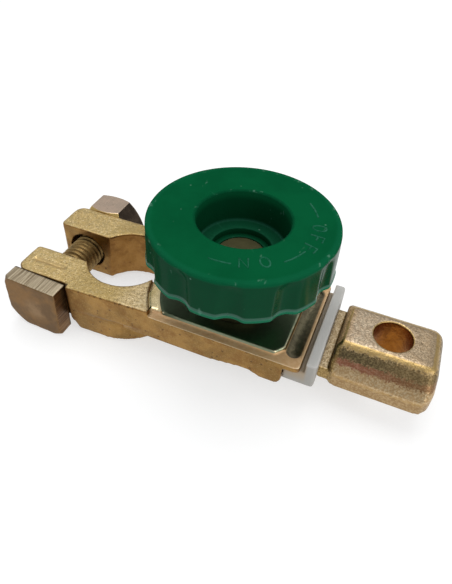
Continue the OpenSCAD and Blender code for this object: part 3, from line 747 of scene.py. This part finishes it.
def lug_brass(s):
    """Plated brass of the cable lug: speckled flat, golden edges, and bands on the shoulders of tarnish,
    rust and painted shade.
    """
    made, w, out = start_material("Lug brass", 1.0, 0.36)
    at = w.place()
    up = w.ramp(w.facing()[2], 0.95, 0.985)
    edge = w.wear_and_light(0.012, 0.06)
    fine = w.mottle(2300.0, 2.0, 0.42, 0.62)
    grain = w.mottle(1100.0, 4.0, 0.40, 0.62)
    cloud = w.mottle(170.0, 4.0, 0.36, 0.64)
    specks = w.specks(650.0, 0.26, 0.10)
    # the bands' borders wander with the grain
    wander = w.times(w.calc("SUBTRACT", fine, 0.5), 0.40 * MM)
    drift = w.times(w.calc("SUBTRACT", cloud, 0.5), 0.22 * MM)
    m = SimpleNamespace(
        at=at,
        grain=grain,
        curl=w.mottle(2900.0, 4.0, 0.42, 0.62),
        height=w.calc("ADD", at[2], w.calc("ADD", wander, drift)),
        neck=w.rise(at[0], 52.2, 51.0),
    )
    body = lug_neck(w, m, lug_shoulder(w, s, m))
    body = w.mix(up, body, lug_flat(w, s, m))
    body = w.tint(body, edge["Worn and lit"], 0.55, s.gold)
    # hollows are darkened with dirt and painted shade
    body = w.tint(body, edge["Hollow"], 0.6, (0.12, 0.075, 0.03))
    body = w.tint(body, specks, 0.5, (0.13, 0.08, 0.04))
    # the hole's wall is left orange-brown
    hole = w.times(w.rise(w.around(HOLE_X)["Distance"], 4.12, 3.96), w.rise(at[2], 14.85, 14.6))
    body = w.mix(hole, body, w.mix(cloud, (0.25, 0.085, 0.010), (0.34, 0.125, 0.018)))
    w.put(out["Base Color"], body)
    rough = w.blend_value(up, w.between(grain, 0.30, 0.46), w.between(fine, 0.36, 0.52))
    w.put(out["Roughness"], rough)
    skin = w.calc("ADD", w.times(grain, 0.65), w.times(fine, 0.35))
    bump(w, out, w.calc("SUBTRACT", skin, specks), 0.035 * MM, 0.7)
    return made


def screw_brass():
    """Turned brass of the contact screw and washer, darkened with painted shade under the knob, and darker
    still from the shoulder down.
    """
    made, w, out = start_material("Screw brass", 1.0, 0.55)
    turned = w.around(KNOB_X, 0.4)["Height"]
    cloud = w.mottle(330.0, 4.0, 0.38, 0.66)
    # the turned brass is darkened with painted shade under the knob
    body = w.mix(cloud, (0.078, 0.072, 0.034), (0.092, 0.084, 0.040))
    body = w.tint(body, turned, 0.1, (0.14, 0.12, 0.065))
    # from the shoulder down it is darker still with painted shade
    dull = w.mix(cloud, (0.030, 0.030, 0.016), (0.055, 0.052, 0.028))
    body = w.tint(body, w.rise(w.place()[2], 17.3, 16.8), 0.9, dull)
    w.put(out["Base Color"], body)
    w.put(out["Roughness"], w.between(cloud, 0.52, 0.6))
    bump(w, out, turned, 0.004 * MM, 0.4)
    return made


def nylon(s):
    """Milky nylon with faint clouds, tiny dark marks and scratches."""
    made, w, out = start_material(
        "Nylon", 0.0, 0.42, Subsurface_Weight=0.25, Subsurface_Scale=1.2 * MM,
        Subsurface_Radius=(1.0, 0.95, 0.9), Specular_IOR_Level=0.45,
    )
    at = w.place()
    cloud = w.mottle(180.0, 3.0, 0.3, 0.7)
    scratch = w.mottle(260.0, 2.0, 0.66, 0.72, (6.0, 0.7, 1.0))
    body = w.mix(cloud, *shades(s.nylon, 0.92, 1.06))
    body = w.tint(body, w.specks(420.0, 0.12, 0.10), 0.5, (0.20, 0.19, 0.18))
    body = w.tint(body, scratch, 0.25, (0.30, 0.28, 0.26))
    # beside the pad the nylon is browner, a painted reflection of the brass pad with painted shade, and the
    # flange's upper edge is paler with painted light
    beside = w.times(w.rise(at[0], 47.2, 46.5), w.rise(at[2], 6.6, 9.5))
    body = w.tint(body, beside, 0.7, (0.42, 0.31, 0.185))
    body = w.tint(body, w.rise(at[2], 12.3, 12.7), 0.5, (0.58, 0.57, 0.55))
    w.put(out["Base Color"], body)
    w.put(out["Roughness"], w.between(cloud, 0.36, 0.5))
    bump(w, out, w.calc("ADD", cloud, scratch), 0.02 * MM, 0.4)
    return made


def knob_well(w, m, body):
    """Rim and wall of the well darkened with painted shade, and the step round its floor lightened with
    painted light and a painted highlight at its corner.
    """
    rim = w.times(w.rise(m.off, 10.0, 9.6), w.rise(m.height, 32.2, 33.4))
    body = w.tint(body, rim, 0.5, (0.001, 0.042, 0.016))
    within = w.rise(m.off, 9.5, 9.4)
    body = w.tint(body, w.times(within, w.rise(m.height, 32.9, 31.0)), 0.62, (0.001, 0.020, 0.008))
    step = w.times(w.band(m.height, 25.9, 26.1, 26.4, 26.9), within)
    body = w.tint(body, step, 0.75, (0.006, 0.066, 0.030))
    corner = w.times(w.rise(m.off, 8.55, 8.8), step)
    return w.tint(body, corner, 0.35, (0.022, 0.110, 0.070))


def knob_green(s):
    """Moulded green plastic: scuffed, lighter at its thin lower edge."""
    made, w, out = start_material("Green plastic", 0.0, 0.35, Specular_IOR_Level=0.0, Coat_Roughness=0.16)
    m = SimpleNamespace(off=w.around(KNOB_X)["Distance"], height=w.place()[2])
    cloud = w.mottle(95.0, 4.0, 0.34, 0.66)
    dust = w.specks(520.0, 0.13, 0.09)
    scuff = w.mottle(210.0, 3.0, 0.68, 0.74, (2.2, 0.8, 1.0))
    body = w.mix(cloud, *shades(s.body, 0.92, 1.1))
    # light soaks through the hem, and a thin line above its bead shines
    outside = w.rise(m.off, 16.5, 17.2)
    hem = w.times(w.rise(m.height, 25.30, 24.80), outside)
    body = w.tint(body, hem, 0.92, (0.010, 0.150, 0.074))
    line = w.times(w.band(m.height, 24.80, 25.1, 25.3, 25.65), outside)
    body = w.tint(body, line, 0.50, (0.060, 0.26, 0.18))
    body = knob_well(w, m, body)
    # the outer side is darkened with painted shade
    side = w.times(w.rise(m.off, 17.4, 18.0), w.rise(m.height, 33.1, 32.4))
    body = w.tint(body, w.times(side, w.inverse(hem)), 0.6, (0.0035, 0.036, 0.017))
    body = w.tint(body, w.wear_and_light(0.008, 0.05)["Worn and lit"], 0.07, (0.05, 0.26, 0.15))
    # the outer shoulder is lightened with a painted highlight, and it and the mouth of the well are scuffed
    shoulder = w.times(w.rise(m.off, 17.4, 18.2), w.rise(m.height, 32.4, 32.9))
    body = w.tint(body, shoulder, 0.35, (0.006, 0.110, 0.050))
    mouth = w.times(w.rise(m.off, 10.1, 9.7), w.rise(m.height, 33.1, 33.4))
    nicks = w.mottle(420.0, 3.0, 0.60, 0.70, (1.6, 0.9, 1.0))
    nicks = w.times(nicks, w.calc("MAXIMUM", shoulder, mouth))
    marks = w.calc("MAXIMUM", w.calc("MAXIMUM", dust, w.times(scuff, 0.8)), nicks)
    w.put(out["Base Color"], w.tint(body, marks, 0.18, (0.30, 0.55, 0.45)))
    w.put(out["Roughness"], w.blend_value(marks, w.between(cloud, 0.30, 0.40), 0.6))
    # the side and the line above the hem shine, the top is satin
    flank = w.ramp(w.calc("ABSOLUTE", w.facing()[0]), 0.70, 0.95)
    shine = w.times(side, w.between(flank, 0.10, 0.55))
    w.put(out["Coat Weight"], w.calc("MAXIMUM", w.times(line, 0.75), shine))
    bump(w, out, w.calc("ADD", w.times(cloud, 0.8), w.times(marks, 0.2)), 0.03 * MM, 0.4)
    return made


def raised_green():
    """Rubbed, lighter green of the raised lettering."""
    made, w, out = start_material("Raised lettering", 0.0, 0.5, Specular_IOR_Level=0.02)
    rubbed = w.mottle(900.0, 3.0, 0.35, 0.6)
    w.put(out["Base Color"], w.mix(rubbed, (0.0045, 0.090, 0.041), (0.022, 0.128, 0.076)))
    w.put(out["Roughness"], w.between(rubbed, 0.4, 0.6))
    return made


def unit(value):
    """A value held between 0 and 1."""
    return max(0.0, min(1.0, value))


def soften(bm, verts):
    """One pass of smoothing over some of the points."""
    bmesh.ops.smooth_vert(bm, verts=verts, factor=0.5, use_axis_x=True, use_axis_y=True, use_axis_z=True)


def cut_off(bm, point, direction):
    """Cuts away what lies beyond a plane and closes the cut."""
    cut = bmesh.ops.bisect_plane(
        bm, geom=bm.verts[:] + bm.edges[:] + bm.faces[:], dist=1e-7,
        plane_co=point, plane_no=direction, clear_outer=True,
    )
    rim = [e for e in cut["geom_cut"] if isinstance(e, bmesh.types.BMEdge)]
    bmesh.ops.edgeloop_fill(bm, edges=rim)


def node_copy(name):
    """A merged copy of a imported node's mesh."""
    bm = bmesh.new()
    bm.from_mesh(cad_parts[name].data)
    bmesh.ops.remove_doubles(bm, verts=bm.verts, dist=1e-6)
    return bm


def shade(bm, angle):
    """Smooth faces with sharp edges where the surface turns by more than angle."""
    for face in bm.faces:
        face.smooth = True
    for edge in bm.edges:
        if len(edge.link_faces) == 2:
            edge.smooth = edge.calc_face_angle() < math.radians(angle)


def add_piece(context, name, bm, body, material, replaces=()):
    """Turns a bmesh into a piece that rides on a body."""
    mesh = bpy.data.meshes.new(name)
    bm.to_mesh(mesh)
    bm.free()
    piece = bpy.data.objects.new(name, mesh)
    context.scene.collection.objects.link(piece)
    mesh.materials.append(material)
    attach(piece, body)
    if replaces:
        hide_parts(*replaces)
    return piece


def rounded(context, bm, voxel, passes):
    """The same solid with an even mesh and softened edges."""
    mesh = bpy.data.meshes.new("raw")
    bm.to_mesh(mesh)
    bm.free()
    raw = bpy.data.objects.new("raw", mesh)
    context.scene.collection.objects.link(raw)
    remesh = raw.modifiers.new("Even mesh", "REMESH")
    remesh.mode = "VOXEL"
    remesh.voxel_size = voxel
    remesh.adaptivity = 0.0
    even = raw.evaluated_get(context.evaluated_depsgraph_get())
    out = bmesh.new()
    out.from_mesh(even.to_mesh())
    even.to_mesh_clear()
    bpy.data.objects.remove(raw)
    bpy.data.meshes.remove(mesh)
    for _ in range(passes):
        soften(out, out.verts)
    for face in out.faces:
        face.smooth = True
    return out


def roughen(bm, depth, size, share_at):
    """Moves each point along its normal by a soft noise; share_at(point) gives how much of it."""
    bm.normal_update()
    for vert in bm.verts:
        share = share_at(vert.co)
        if share:
            height = noise.fractal(vert.co / size, 1.0, 2.0, 3) - 0.15
            vert.co += vert.normal * depth * share * height


def keep_inside(bm):
    """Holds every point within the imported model's outline box."""
    for vert in bm.verts:
        vert.co = [min(max(c, low), high) for c, low, high in zip(vert.co, *cad_box)]


def profile(bm, points, closed=False):
    """Vertices joined by edges."""
    verts = [bm.verts.new(point) for point in points]
    edges = [bm.edges.new(pair) for pair in zip(verts, verts[1:])]
    if closed:
        edges.append(bm.edges.new((verts[-1], verts[0])))
    return verts, edges


def arc(cx, cy, r, start, end, steps):
    """Points of an arc in a plane, by angle in degrees."""
    out = []
    for i in range(steps + 1):
        a = math.radians(start + (end - start) * i / steps)
        out.append((cx + r * math.cos(a), cy + r * math.sin(a)))
    return out


def helix(bm, major, minor, pitch, start, end, place):
    """A threaded rod from start to end along local Z, put in place by a matrix."""
    low = start - pitch * 1.5
    turns = math.ceil((end - low) / pitch) + 2
    shape = [(minor, 0.0), (minor, 0.17), (major, 0.42), (major, 0.58), (minor, 0.83), (minor, 1.0)]
    verts, edges = profile(bm, [(r, 0.0, low + share * pitch) for r, share in shape])
    bmesh.ops.spin(
        bm, geom=verts + edges, cent=(0, 0, 0), axis=(0, 0, 1), dvec=(0, 0, pitch / THREAD_STEPS),
        angle=2 * math.pi * turns, steps=THREAD_STEPS * turns, use_merge=False,
    )
    bmesh.ops.remove_doubles(bm, verts=bm.verts, dist=1e-6)
    cut_off(bm, (0, 0, start), (0, 0, -1))
    cut_off(bm, (0, 0, end), (0, 0, 1))
    bmesh.ops.recalc_face_normals(bm, faces=bm.faces)
    bmesh.ops.transform(bm, matrix=place, verts=bm.verts)


class SWITCH_OT_casting(bpy.types.Operator):
    """Make the cast clamp with its contact pad"""

    bl_idname = "switch.casting"
    bl_label = "Clamp casting"

    def waviness(self, point):
        """The jaws and ears are wavy, the pad's sides less so and its machined top not at all."""
        if point.x < PAD_START:
            return 1.0
        return 0.25 if point.z < PAD_SIDE_TOP else 0.0

    def execute(self, context):
        s = context.scene.switch_casting
        bm = rounded(context, node_copy("clamp_body"), s.voxel, 2)
        roughen(bm, s.grain, CAST_WAVE, self.waviness)
        add_piece(context, "casting", bm, "clamp", cast_brass(s), replaces=("clamp_body",))
        return {"FINISHED"}


class SWITCH_OT_bolt(bpy.types.Operator):
    """Make the square-head clamp bolt and its nut"""

    bl_idname = "switch.bolt"
    bl_label = "Clamp bolt and nut"

    def chamfer_tip(self, rod):
        """Draws the thread in towards its tip at 45 degrees."""
        for vert in rod.verts:
            limit = TIP_R * MM - max(0.0, vert.co.y - TIP_START * MM)
            off = Vector((vert.co.x - BOLT_X, vert.co.z - BOLT_Z))
            if off.length > limit:
                off *= limit / off.length
                vert.co.x, vert.co.z = BOLT_X + off.x, BOLT_Z + off.y

    def execute(self, context):
        s = context.scene.switch_bolt
        head = node_copy("clamp_bolt")
        cut_off(head, (0, HEAD_BACK * MM, 0), (0, 1, 0))
        head = rounded(context, head, FINE_VOXEL, 4)
        add_piece(context, "bolt_head", head, "bolt", head_brass(s))
        rod = bmesh.new()
        along = Matrix.Translation((BOLT_X, 0.0, BOLT_Z)) @ Matrix.Rotation(math.radians(-90), 4, "X")
        major, minor = (r * MM for r in THREAD_RADII)
        start, end = (y * MM for y in THREAD_ENDS)
        helix(rod, major, minor, s.pitch, start, end, along)
        self.chamfer_tip(rod)
        shade(rod, 50)
        add_piece(
            context, "bolt_thread", rod, "bolt", thread_brass(s), replaces=("clamp_bolt",)
        )
        nut = rounded(context, node_copy("clamp_nut"), FINE_VOXEL, 3)
        add_piece(context, "nut", nut, "nut", nut_brass(s), replaces=("clamp_nut",))
        return {"FINISHED"}


class SWITCH_OT_knob(bpy.types.Operator):
    """Make the fluted knob with its well, core and ribs"""

    bl_idname = "switch.knob"
    bl_label = "Screw knob"

    def wall(self, z):
        """Radius of the knob's drafted outer wall at a height, in mm."""
        return WALL_R - WALL_DRAFT * (min(max(z, FOOT_Z), SHOULDER_Z) - FOOT_Z) / (SHOULDER_Z - FOOT_Z)

    def dip(self, turn, z, hollow):
        """How deep a hollow lies under the outer wall, in mm: a groove with a ball-shaped upper end."""
        half = WALL_R * math.sin(math.radians(HOLLOW_ANGLE))
        cutter = (half * half + hollow * hollow) / (2 * hollow)
        middle = WALL_R - hollow + cutter
        reach = cutter * cutter - max(0.0, z - BALL_Z) ** 2 - (middle * math.sin(turn)) ** 2
        if reach <= 0 or z > SHOULDER_Z:
            return 0.0
        wall = self.wall(z)
        cut = middle * math.cos(turn) - math.sqrt(reach)
        # the hollow's edge is rounded by a soft minimum of wall and cut
        return wall - min(wall, cut) + HOLLOW_SOFT * math.log(1 + math.exp(-abs(wall - cut) / HOLLOW_SOFT))

    def waist(self, z):
        """How far the outer wall is drawn in above the rounded bead at its foot, in mm."""
        rise = unit((z - BEAD_Z) / BEAD_RISE)
        return BEAD_INSET * rise * rise * (3 - 2 * rise) * unit((WAIST_END - z) / WAIST_FADE)

    def outline(self):
        """The knob's section as radius and height, in mm: well, top, wall, hem, core and hub."""
        points = [(5.05, 24.7), (6.0, 24.7), (6.2, 24.75), (6.2, 26.0), (6.3, 26.14), (6.45, 26.2)]
        points += [(7.6, 26.2), (8.75, 26.2)] + arc(8.75, 26.45, 0.25, -90, 0, 3)[1:]
        points += [(9.02, 27.4), (9.08, 28.6), (9.14, 29.8), (9.2, 31.0), (9.27, 32.2)]
        points += arc(9.85, KNOB_TOP - 0.55, 0.55, 170, 90, 6)
        points += [(r, KNOB_TOP) for r in (10.8, 11.8, 13.0, 14.2, 15.4, 16.6, 17.6)]
        points += arc(18.3, KNOB_TOP - 0.6, 0.6, 90, 0, 7)
        points += [(self.wall(z), z) for z in WALL_LEVELS]
        points += arc(18.55, FOOT_Z, 0.7, 0, -90, 7)
        points += [(17.6, 24.0), (16.75, 24.0)] + arc(16.75, 24.3, 0.3, -90, -180, 3)
        points += [(16.3, 26.5), (16.2, 29.0), (16.1, 30.6)] + arc(15.6, 30.6, 0.5, 0, 90, 3)
        points += [(13.8, 31.1)] + arc(11.95, 30.6, 0.5, 90, 180, 3) + [(11.45, 27.5), (11.45, 24.2)]
        points += [(11.3, 24.0), (10.2, 24.0), (10.0, 23.8), (10.0, 20.5), (10.0, 17.3), (9.8, 17.05)]
        return points + [(7.5, 17.02), (5.05, 17.02), (5.05, 20.0)]

    def flute(self, bm, pitch, hollow):
        """Presses the hollows and the waist into the outer wall."""
        for vert in bm.verts:
            off = Vector((vert.co.x - KNOB_X, vert.co.y))
            fade = unit((off.length / MM - SKIRT_INNER_R) / SKIRT_WALL)
            if fade and vert.co.z > SKIRT_END * MM:
                turn = (math.atan2(off.y, off.x) - pitch / 2) % pitch
                z = vert.co.z / MM
                inset = self.dip(min(turn, pitch - turn), z, hollow) + self.waist(z)
                off *= 1 - fade * inset * MM / off.length
                vert.co.x, vert.co.y = KNOB_X + off.x, off.y

    def add_ribs(self, bm, count, pitch):
        """Adds the stiffening ribs in the core under the knob."""
        width, depth, height = (side * MM for side in RIB_SIZE)
        middle = Matrix.Translation((RIB_R * MM, 0, RIB_Z * MM))
        shape = middle @ Matrix.Diagonal((width, depth, height, 1))
        for i in range(count):
            rib = bmesh.ops.create_cube(bm, size=1.0)["verts"]
            place = Matrix.Translation((KNOB_X, 0, 0)) @ Matrix.Rotation(i * pitch, 4, "Z") @ shape
            bmesh.ops.transform(bm, matrix=place, verts=rib)

    def execute(self, context):
        s = context.scene.switch_knob
        bm = bmesh.new()
        points = [(KNOB_X + r * MM, 0.0, z * MM) for r, z in self.outline()]
        verts, edges = profile(bm, points, closed=True)
        bmesh.ops.spin(
            bm, geom=verts + edges, cent=(KNOB_X, 0, 0), axis=(0, 0, 1), angle=2 * math.pi,
            steps=s.lobes * LOBE_STEPS, use_merge=True,
        )
        bmesh.ops.remove_doubles(bm, verts=bm.verts, dist=1e-7)
        pitch = 2 * math.pi / s.lobes
        self.flute(bm, pitch, s.hollow / MM)
        bmesh.ops.recalc_face_normals(bm, faces=bm.faces)
        self.add_ribs(bm, s.lobes, pitch)
        shade(bm, 50)
        add_piece(context, "knob", bm, "knob", knob_green(s), replaces=("knob_shell",))
        return {"FINISHED"}


class SWITCH_OT_lettering(bpy.types.Operator):
    """Make the raised ON and OFF with their arcs on the knob's top"""

    bl_idname = "switch.lettering"
    bl_label = "Knob lettering"

    def letters(self):
        """The strokes of each letter round its middle, in mm."""
        half = LETTER_HALF
        turns = [i * math.pi / 10 for i in range(21)]
        return {
            "O": [[(0.85 * math.cos(a), half * math.sin(a)) for a in turns]],
            "N": [[(-0.8, -half), (-0.8, half), (0.8, -half), (0.8, half)]],
            "F": [[(-0.75, -half), (-0.75, half), (0.8, half)], [(-0.75, 0.1), (0.5, 0.1)]],
        }

    def strokes(self):
        """Every stroke of the words and arcs, in metres about the knob's axis."""
        letters = self.letters()
        for word, first, step, far in WORDS:
            for i, letter in enumerate(word):
                a = math.radians(first + step * i)
                up = Vector((math.cos(a), math.sin(a)))
                right = Vector((math.sin(a), -math.cos(a)))
                for line in letters[letter]:
                    yield [(up * (far + y) + right * x) * MM for x, y in line]
        for first, last, far in ARCS:
            yield [Vector(point) * MM for point in arc(0, 0, far, first, last, 8)]

    def execute(self, context):
        s = context.scene.switch_knob
        curve = bpy.data.curves.new("strokes", "CURVE")
        curve.dimensions = "3D"
        curve.bevel_depth = s.stroke
        curve.bevel_resolution = 2
        curve.use_fill_caps = True
        for points in self.strokes():
            spline = curve.splines.new("POLY")
            spline.points.add(len(points) - 1)
            for spot, point in zip(spline.points, points):
                spot.co = (KNOB_X + point.x, point.y, LETTERING_TOP * MM - s.stroke, 1.0)
        made = bpy.data.objects.new("strokes", curve)
        context.scene.collection.objects.link(made)
        bm = bmesh.new()
        bm.from_mesh(made.evaluated_get(context.evaluated_depsgraph_get()).to_mesh())
        bpy.data.objects.remove(made)
        bpy.data.curves.remove(curve)
        bmesh.ops.remove_doubles(bm, verts=bm.verts, dist=1e-7)
        bmesh.ops.recalc_face_normals(bm, faces=bm.faces)
        for face in bm.faces:
            face.smooth = True
        add_piece(context, "knob_lettering", bm, "knob", raised_green())
        return {"FINISHED"}


class SWITCH_OT_screw(bpy.types.Operator):
    """Make the contact screw moulded into the knob and dress its washer"""

    bl_idname = "switch.screw"
    bl_label = "Contact screw"

    def execute(self, context):
        s = context.scene.switch_knob
        finish = screw_brass()
        bm = bmesh.new()
        major, minor = (r * MM for r in SCREW_RADII)
        start, end = (z * MM for z in SCREW_ENDS)
        helix(bm, major, minor, s.pitch, start, end, Matrix.Translation((KNOB_X, 0, 0)))
        verts, edges = profile(bm, [(KNOB_X + r * MM, 0, z * MM) for r, z in SHANK_OUTLINE])
        bmesh.ops.spin(
            bm, geom=verts + edges, cent=(KNOB_X, 0, 0), axis=(0, 0, 1), angle=2 * math.pi,
            steps=SHANK_STEPS, use_merge=True,
        )
        bmesh.ops.remove_doubles(bm, verts=bm.verts, dist=2e-6)
        bmesh.ops.recalc_face_normals(bm, faces=bm.faces)
        shade(bm, 40)
        add_piece(context, "contact_screw", bm, "knob", finish, replaces=("knob_stud",))
        washer = rounded(context, node_copy("contact_washer"), FINE_VOXEL, 2)
        add_piece(
            context, "washer", washer, "washer", finish, replaces=("contact_washer",)
        )
        return {"FINISHED"}


class SWITCH_OT_lug(bpy.types.Operator):
    """Make the cable lug with its tongue"""

    bl_idname = "switch.lug"
    bl_label = "Cable lug"

    def roll_ends(self, bm):
        """Draws the block's outline in towards both of its ends, like a quarter round."""
        for vert in bm.verts:
            x, y, z = vert.co / MM
            far = unit((x - FAR_START) / FAR_ROLL)
            near = 0.0
            if x > NECK_END:
                near = unit((NEAR_START - x) / NEAR_ROLL) * unit((z - NEAR_Z) / NEAR_FADE)
            inset = FAR_ROLL * (1 - math.sqrt(1 - far * far)) + NEAR_ROLL * (1 - math.sqrt(1 - near * near))
            if inset:
                across = inset * max(FOOT_SHARE, min(1.0, (z - ACROSS_Z) / ACROSS_FADE)) / BLOCK_HALF_W
                down = inset * (1.0 if z > BLOCK_Z else FOOT_SHARE) / BLOCK_HALF_H
                vert.co = Vector((x, y * (1 - across), BLOCK_Z + (z - BLOCK_Z) * (1 - down))) * MM

    def soften_end(self, bm, passes):
        """Smooths the cast end and the upper edges, and leaves the hole's rim crisp."""
        solid = [v for v in bm.verts if math.hypot(v.co.x - HOLE_X, v.co.y) > RIM_R]
        end = [v for v in solid if v.co.x > END_X and v.co.z > END_Z]
        both = [v for v in solid if v.co.x > TIP_X or (v.co.z > EDGE_Z and v.co.x > EDGE_X)]
        for i in range(passes * 2):
            soften(bm, both if i < passes else end)
        # smoothing draws the end in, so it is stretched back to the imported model's end
        stretch = (cad_box[1][0] - FIXED_X) / (max(v.co.x for v in end) - FIXED_X)
        for vert in bm.verts:
            if vert.co.x > FIXED_X:
                vert.co.x = FIXED_X + (vert.co.x - FIXED_X) * stretch

    def execute(self, context):
        s = context.scene.switch_lug
        bm = rounded(context, node_copy("cable_lug"), s.voxel, 3)
        self.roll_ends(bm)
        self.soften_end(bm, s.soft)
        roughen(bm, LUG_GRAIN, LUG_WAVE, lambda p: 1.0 if p.x > EDGE_X else 0.0)
        keep_inside(bm)
        add_piece(context, "lug", bm, "clamp", lug_brass(s), replaces=("cable_lug",))
        return {"FINISHED"}


class SWITCH_OT_insulator(bpy.types.Operator):
    """Make the two nylon halves of the insulator"""

    bl_idname = "switch.insulator"
    bl_label = "Nylon insulator"

    def execute(self, context):
        s = context.scene.switch_insulator
        finish = nylon(s)
        for name, node in (("insulator_tray", "insulator_upper"), ("insulator_cover", "insulator_lower")):
            bm = rounded(context, node_copy(node), NYLON_VOXEL, 3)
            add_piece(context, name, bm, "clamp", finish, replaces=(node,))
        return {"FINISHED"}


class SWITCH_OT_stage(bpy.types.Operator):
    """Make the floor, the soft studio light and the camera"""

    bl_idname = "switch.stage"
    bl_label = "Studio stage"

    def execute(self, context):
        s = context.scene.switch_stage
        self.make_floor(context, s.floor)
        self.make_surroundings(context, s.sky)
        self.make_lamp(context, "key", *KEY_LAMP, s.key)
        self.make_lamp(context, "fill", *FILL_LAMP, s.key * FILL_SHARE)
        self.make_camera(context, s.lens)
        context.scene.view_settings.view_transform = "Standard"
        return {"FINISHED"}

    def make_floor(self, context, colour):
        bm = bmesh.new()
        bmesh.ops.create_grid(bm, x_segments=1, y_segments=1, size=FLOOR_HALF)
        bmesh.ops.translate(bm, verts=bm.verts, vec=(0, 0, cad_box[0][2] - FLOOR_GAP))
        mesh = bpy.data.meshes.new("floor")
        bm.to_mesh(mesh)
        bm.free()
        floor = bpy.data.objects.new("floor", mesh)
        context.scene.collection.objects.link(floor)
        mesh.materials.append(self.floor_paint(colour))

    def floor_paint(self, colour):
        """Pale paint that is nearly white of itself where it is seen, and keeps a pale shadow."""
        made, w, out = start_material("Floor", 0.0, 0.9)
        path = w.node("LightPath").outputs
        seen = w.calc("MAXIMUM", path["Is Camera Ray"], path["Is Glossy Ray"])
        seen = w.calc("MAXIMUM", seen, path["Is Transmission Ray"])
        w.put(out["Base Color"], w.mix(seen, colour, [c * 0.5 for c in colour]))
        glow = w.node("Emission", {"Color": (1, 1, 1, 1), "Strength": w.times(seen, 0.62)})
        shader = out["Base Color"].node
        both = w.node("AddShader", {0: shader.outputs[0], 1: glow.outputs[0]})
        w.put(shader.outputs[0].links[0].to_node.inputs[0], both.outputs[0])
        return made

    def make_surroundings(self, context, strength):
        """Even light from all sides, which the camera sees as white."""
        world = bpy.data.worlds.new("Surroundings")
        context.scene.world = world
        world.use_nodes = True
        world.node_tree.nodes.clear()
        w = Wiring(world.node_tree)
        even = w.node("Background", {"Color": (0.96, 0.98, 1.0, 1.0), "Strength": strength})
        seen = w.node("Background", {"Color": (1.0, 1.0, 1.0, 1.0), "Strength": 1.0})
        path = w.node("LightPath").outputs
        shown = w.node("MixShader", {0: path["Is Camera Ray"], 1: even.outputs[0], 2: seen.outputs[0]})
        w.node("OutputWorld", {0: shown.outputs[0]})

    def make_lamp(self, context, name, place, size, power):
        """A square lamp that faces the switch."""
        lamp = bpy.data.lights.new(name, "AREA")
        lamp.shape = "SQUARE"
        lamp.size = size
        lamp.energy = power
        lit = bpy.data.objects.new(name, lamp)
        lit.location = place
        lit.rotation_euler = (Vector(LIT_POINT) - Vector(place)).to_track_quat("-Z", "Y").to_euler()
        context.scene.collection.objects.link(lit)

    def make_camera(self, context, lens):
        """The photograph's camera."""
        camera = bpy.data.cameras.new("camera")
        camera.sensor_width = 36.0
        camera.lens = lens
        camera.shift_x = (IMAGE_W / 2 - AHEAD_X) / IMAGE_H
        camera.shift_y = (AHEAD_Y - IMAGE_H / 2) / IMAGE_H
        camera.clip_start = 0.001
        camera.clip_end = 20.0
        azimuth, tilt, roll = (math.radians(a) for a in EYE_TURNS)
        ahead = Vector((
            -math.sin(azimuth) * math.cos(tilt), math.cos(azimuth) * math.cos(tilt), -math.sin(tilt)
        ))
        level = Vector((math.cos(azimuth), math.sin(azimuth), 0.0))
        over = level.cross(ahead)
        right = level * math.cos(roll) + over * math.sin(roll)
        up = over * math.cos(roll) - level * math.sin(roll)
        turn = Matrix((right, up, -ahead)).transposed().to_4x4()
        eye = bpy.data.objects.new("camera", camera)
        eye.matrix_world = Matrix.Translation(EYE) @ turn
        context.scene.collection.objects.link(eye)
        context.scene.camera = eye


class SWITCH_PT_panel(bpy.types.Panel):
    """Lists the steps that dress the switch"""

    bl_label = "Battery Disconnect Switch"
    bl_idname = "SWITCH_PT_panel"
    bl_space_type = "VIEW_3D"
    bl_region_type = "UI"
    bl_category = "Switch"

    def draw(self, context):
        for operator in OPERATORS:
            self.layout.operator(operator.bl_idname)
        for name in SETTINGS:
            group = getattr(context.scene, name)
            box = self.layout.box()
            for key in group.bl_rna.properties.keys():
                if key not in ("rna_type", "name"):
                    box.prop(group, key)


OPERATORS = (
    SWITCH_OT_casting,
    SWITCH_OT_bolt,
    SWITCH_OT_knob,
    SWITCH_OT_lettering,
    SWITCH_OT_screw,
    SWITCH_OT_lug,
    SWITCH_OT_insulator,
    SWITCH_OT_stage,
)


def register():
    for name, group in SETTINGS.items():
        bpy.utils.register_class(group)
        setattr(bpy.types.Scene, name, PointerProperty(type=group))
    for item in (*OPERATORS, SWITCH_PT_panel):
        bpy.utils.register_class(item)


def unregister():
    for item in reversed((*OPERATORS, SWITCH_PT_panel)):
        bpy.utils.unregister_class(item)
    for name, group in reversed(SETTINGS.items()):
        delattr(bpy.types.Scene, name)
        bpy.utils.unregister_class(group)


def main():
    register()
    for step in (
        bpy.ops.switch.casting,
        bpy.ops.switch.bolt,
        bpy.ops.switch.knob,
        bpy.ops.switch.lettering,
        bpy.ops.switch.screw,
        bpy.ops.switch.lug,
        bpy.ops.switch.insulator,
        bpy.ops.switch.stage,
    ):
        step()


if __name__ == "__main__":
    main()
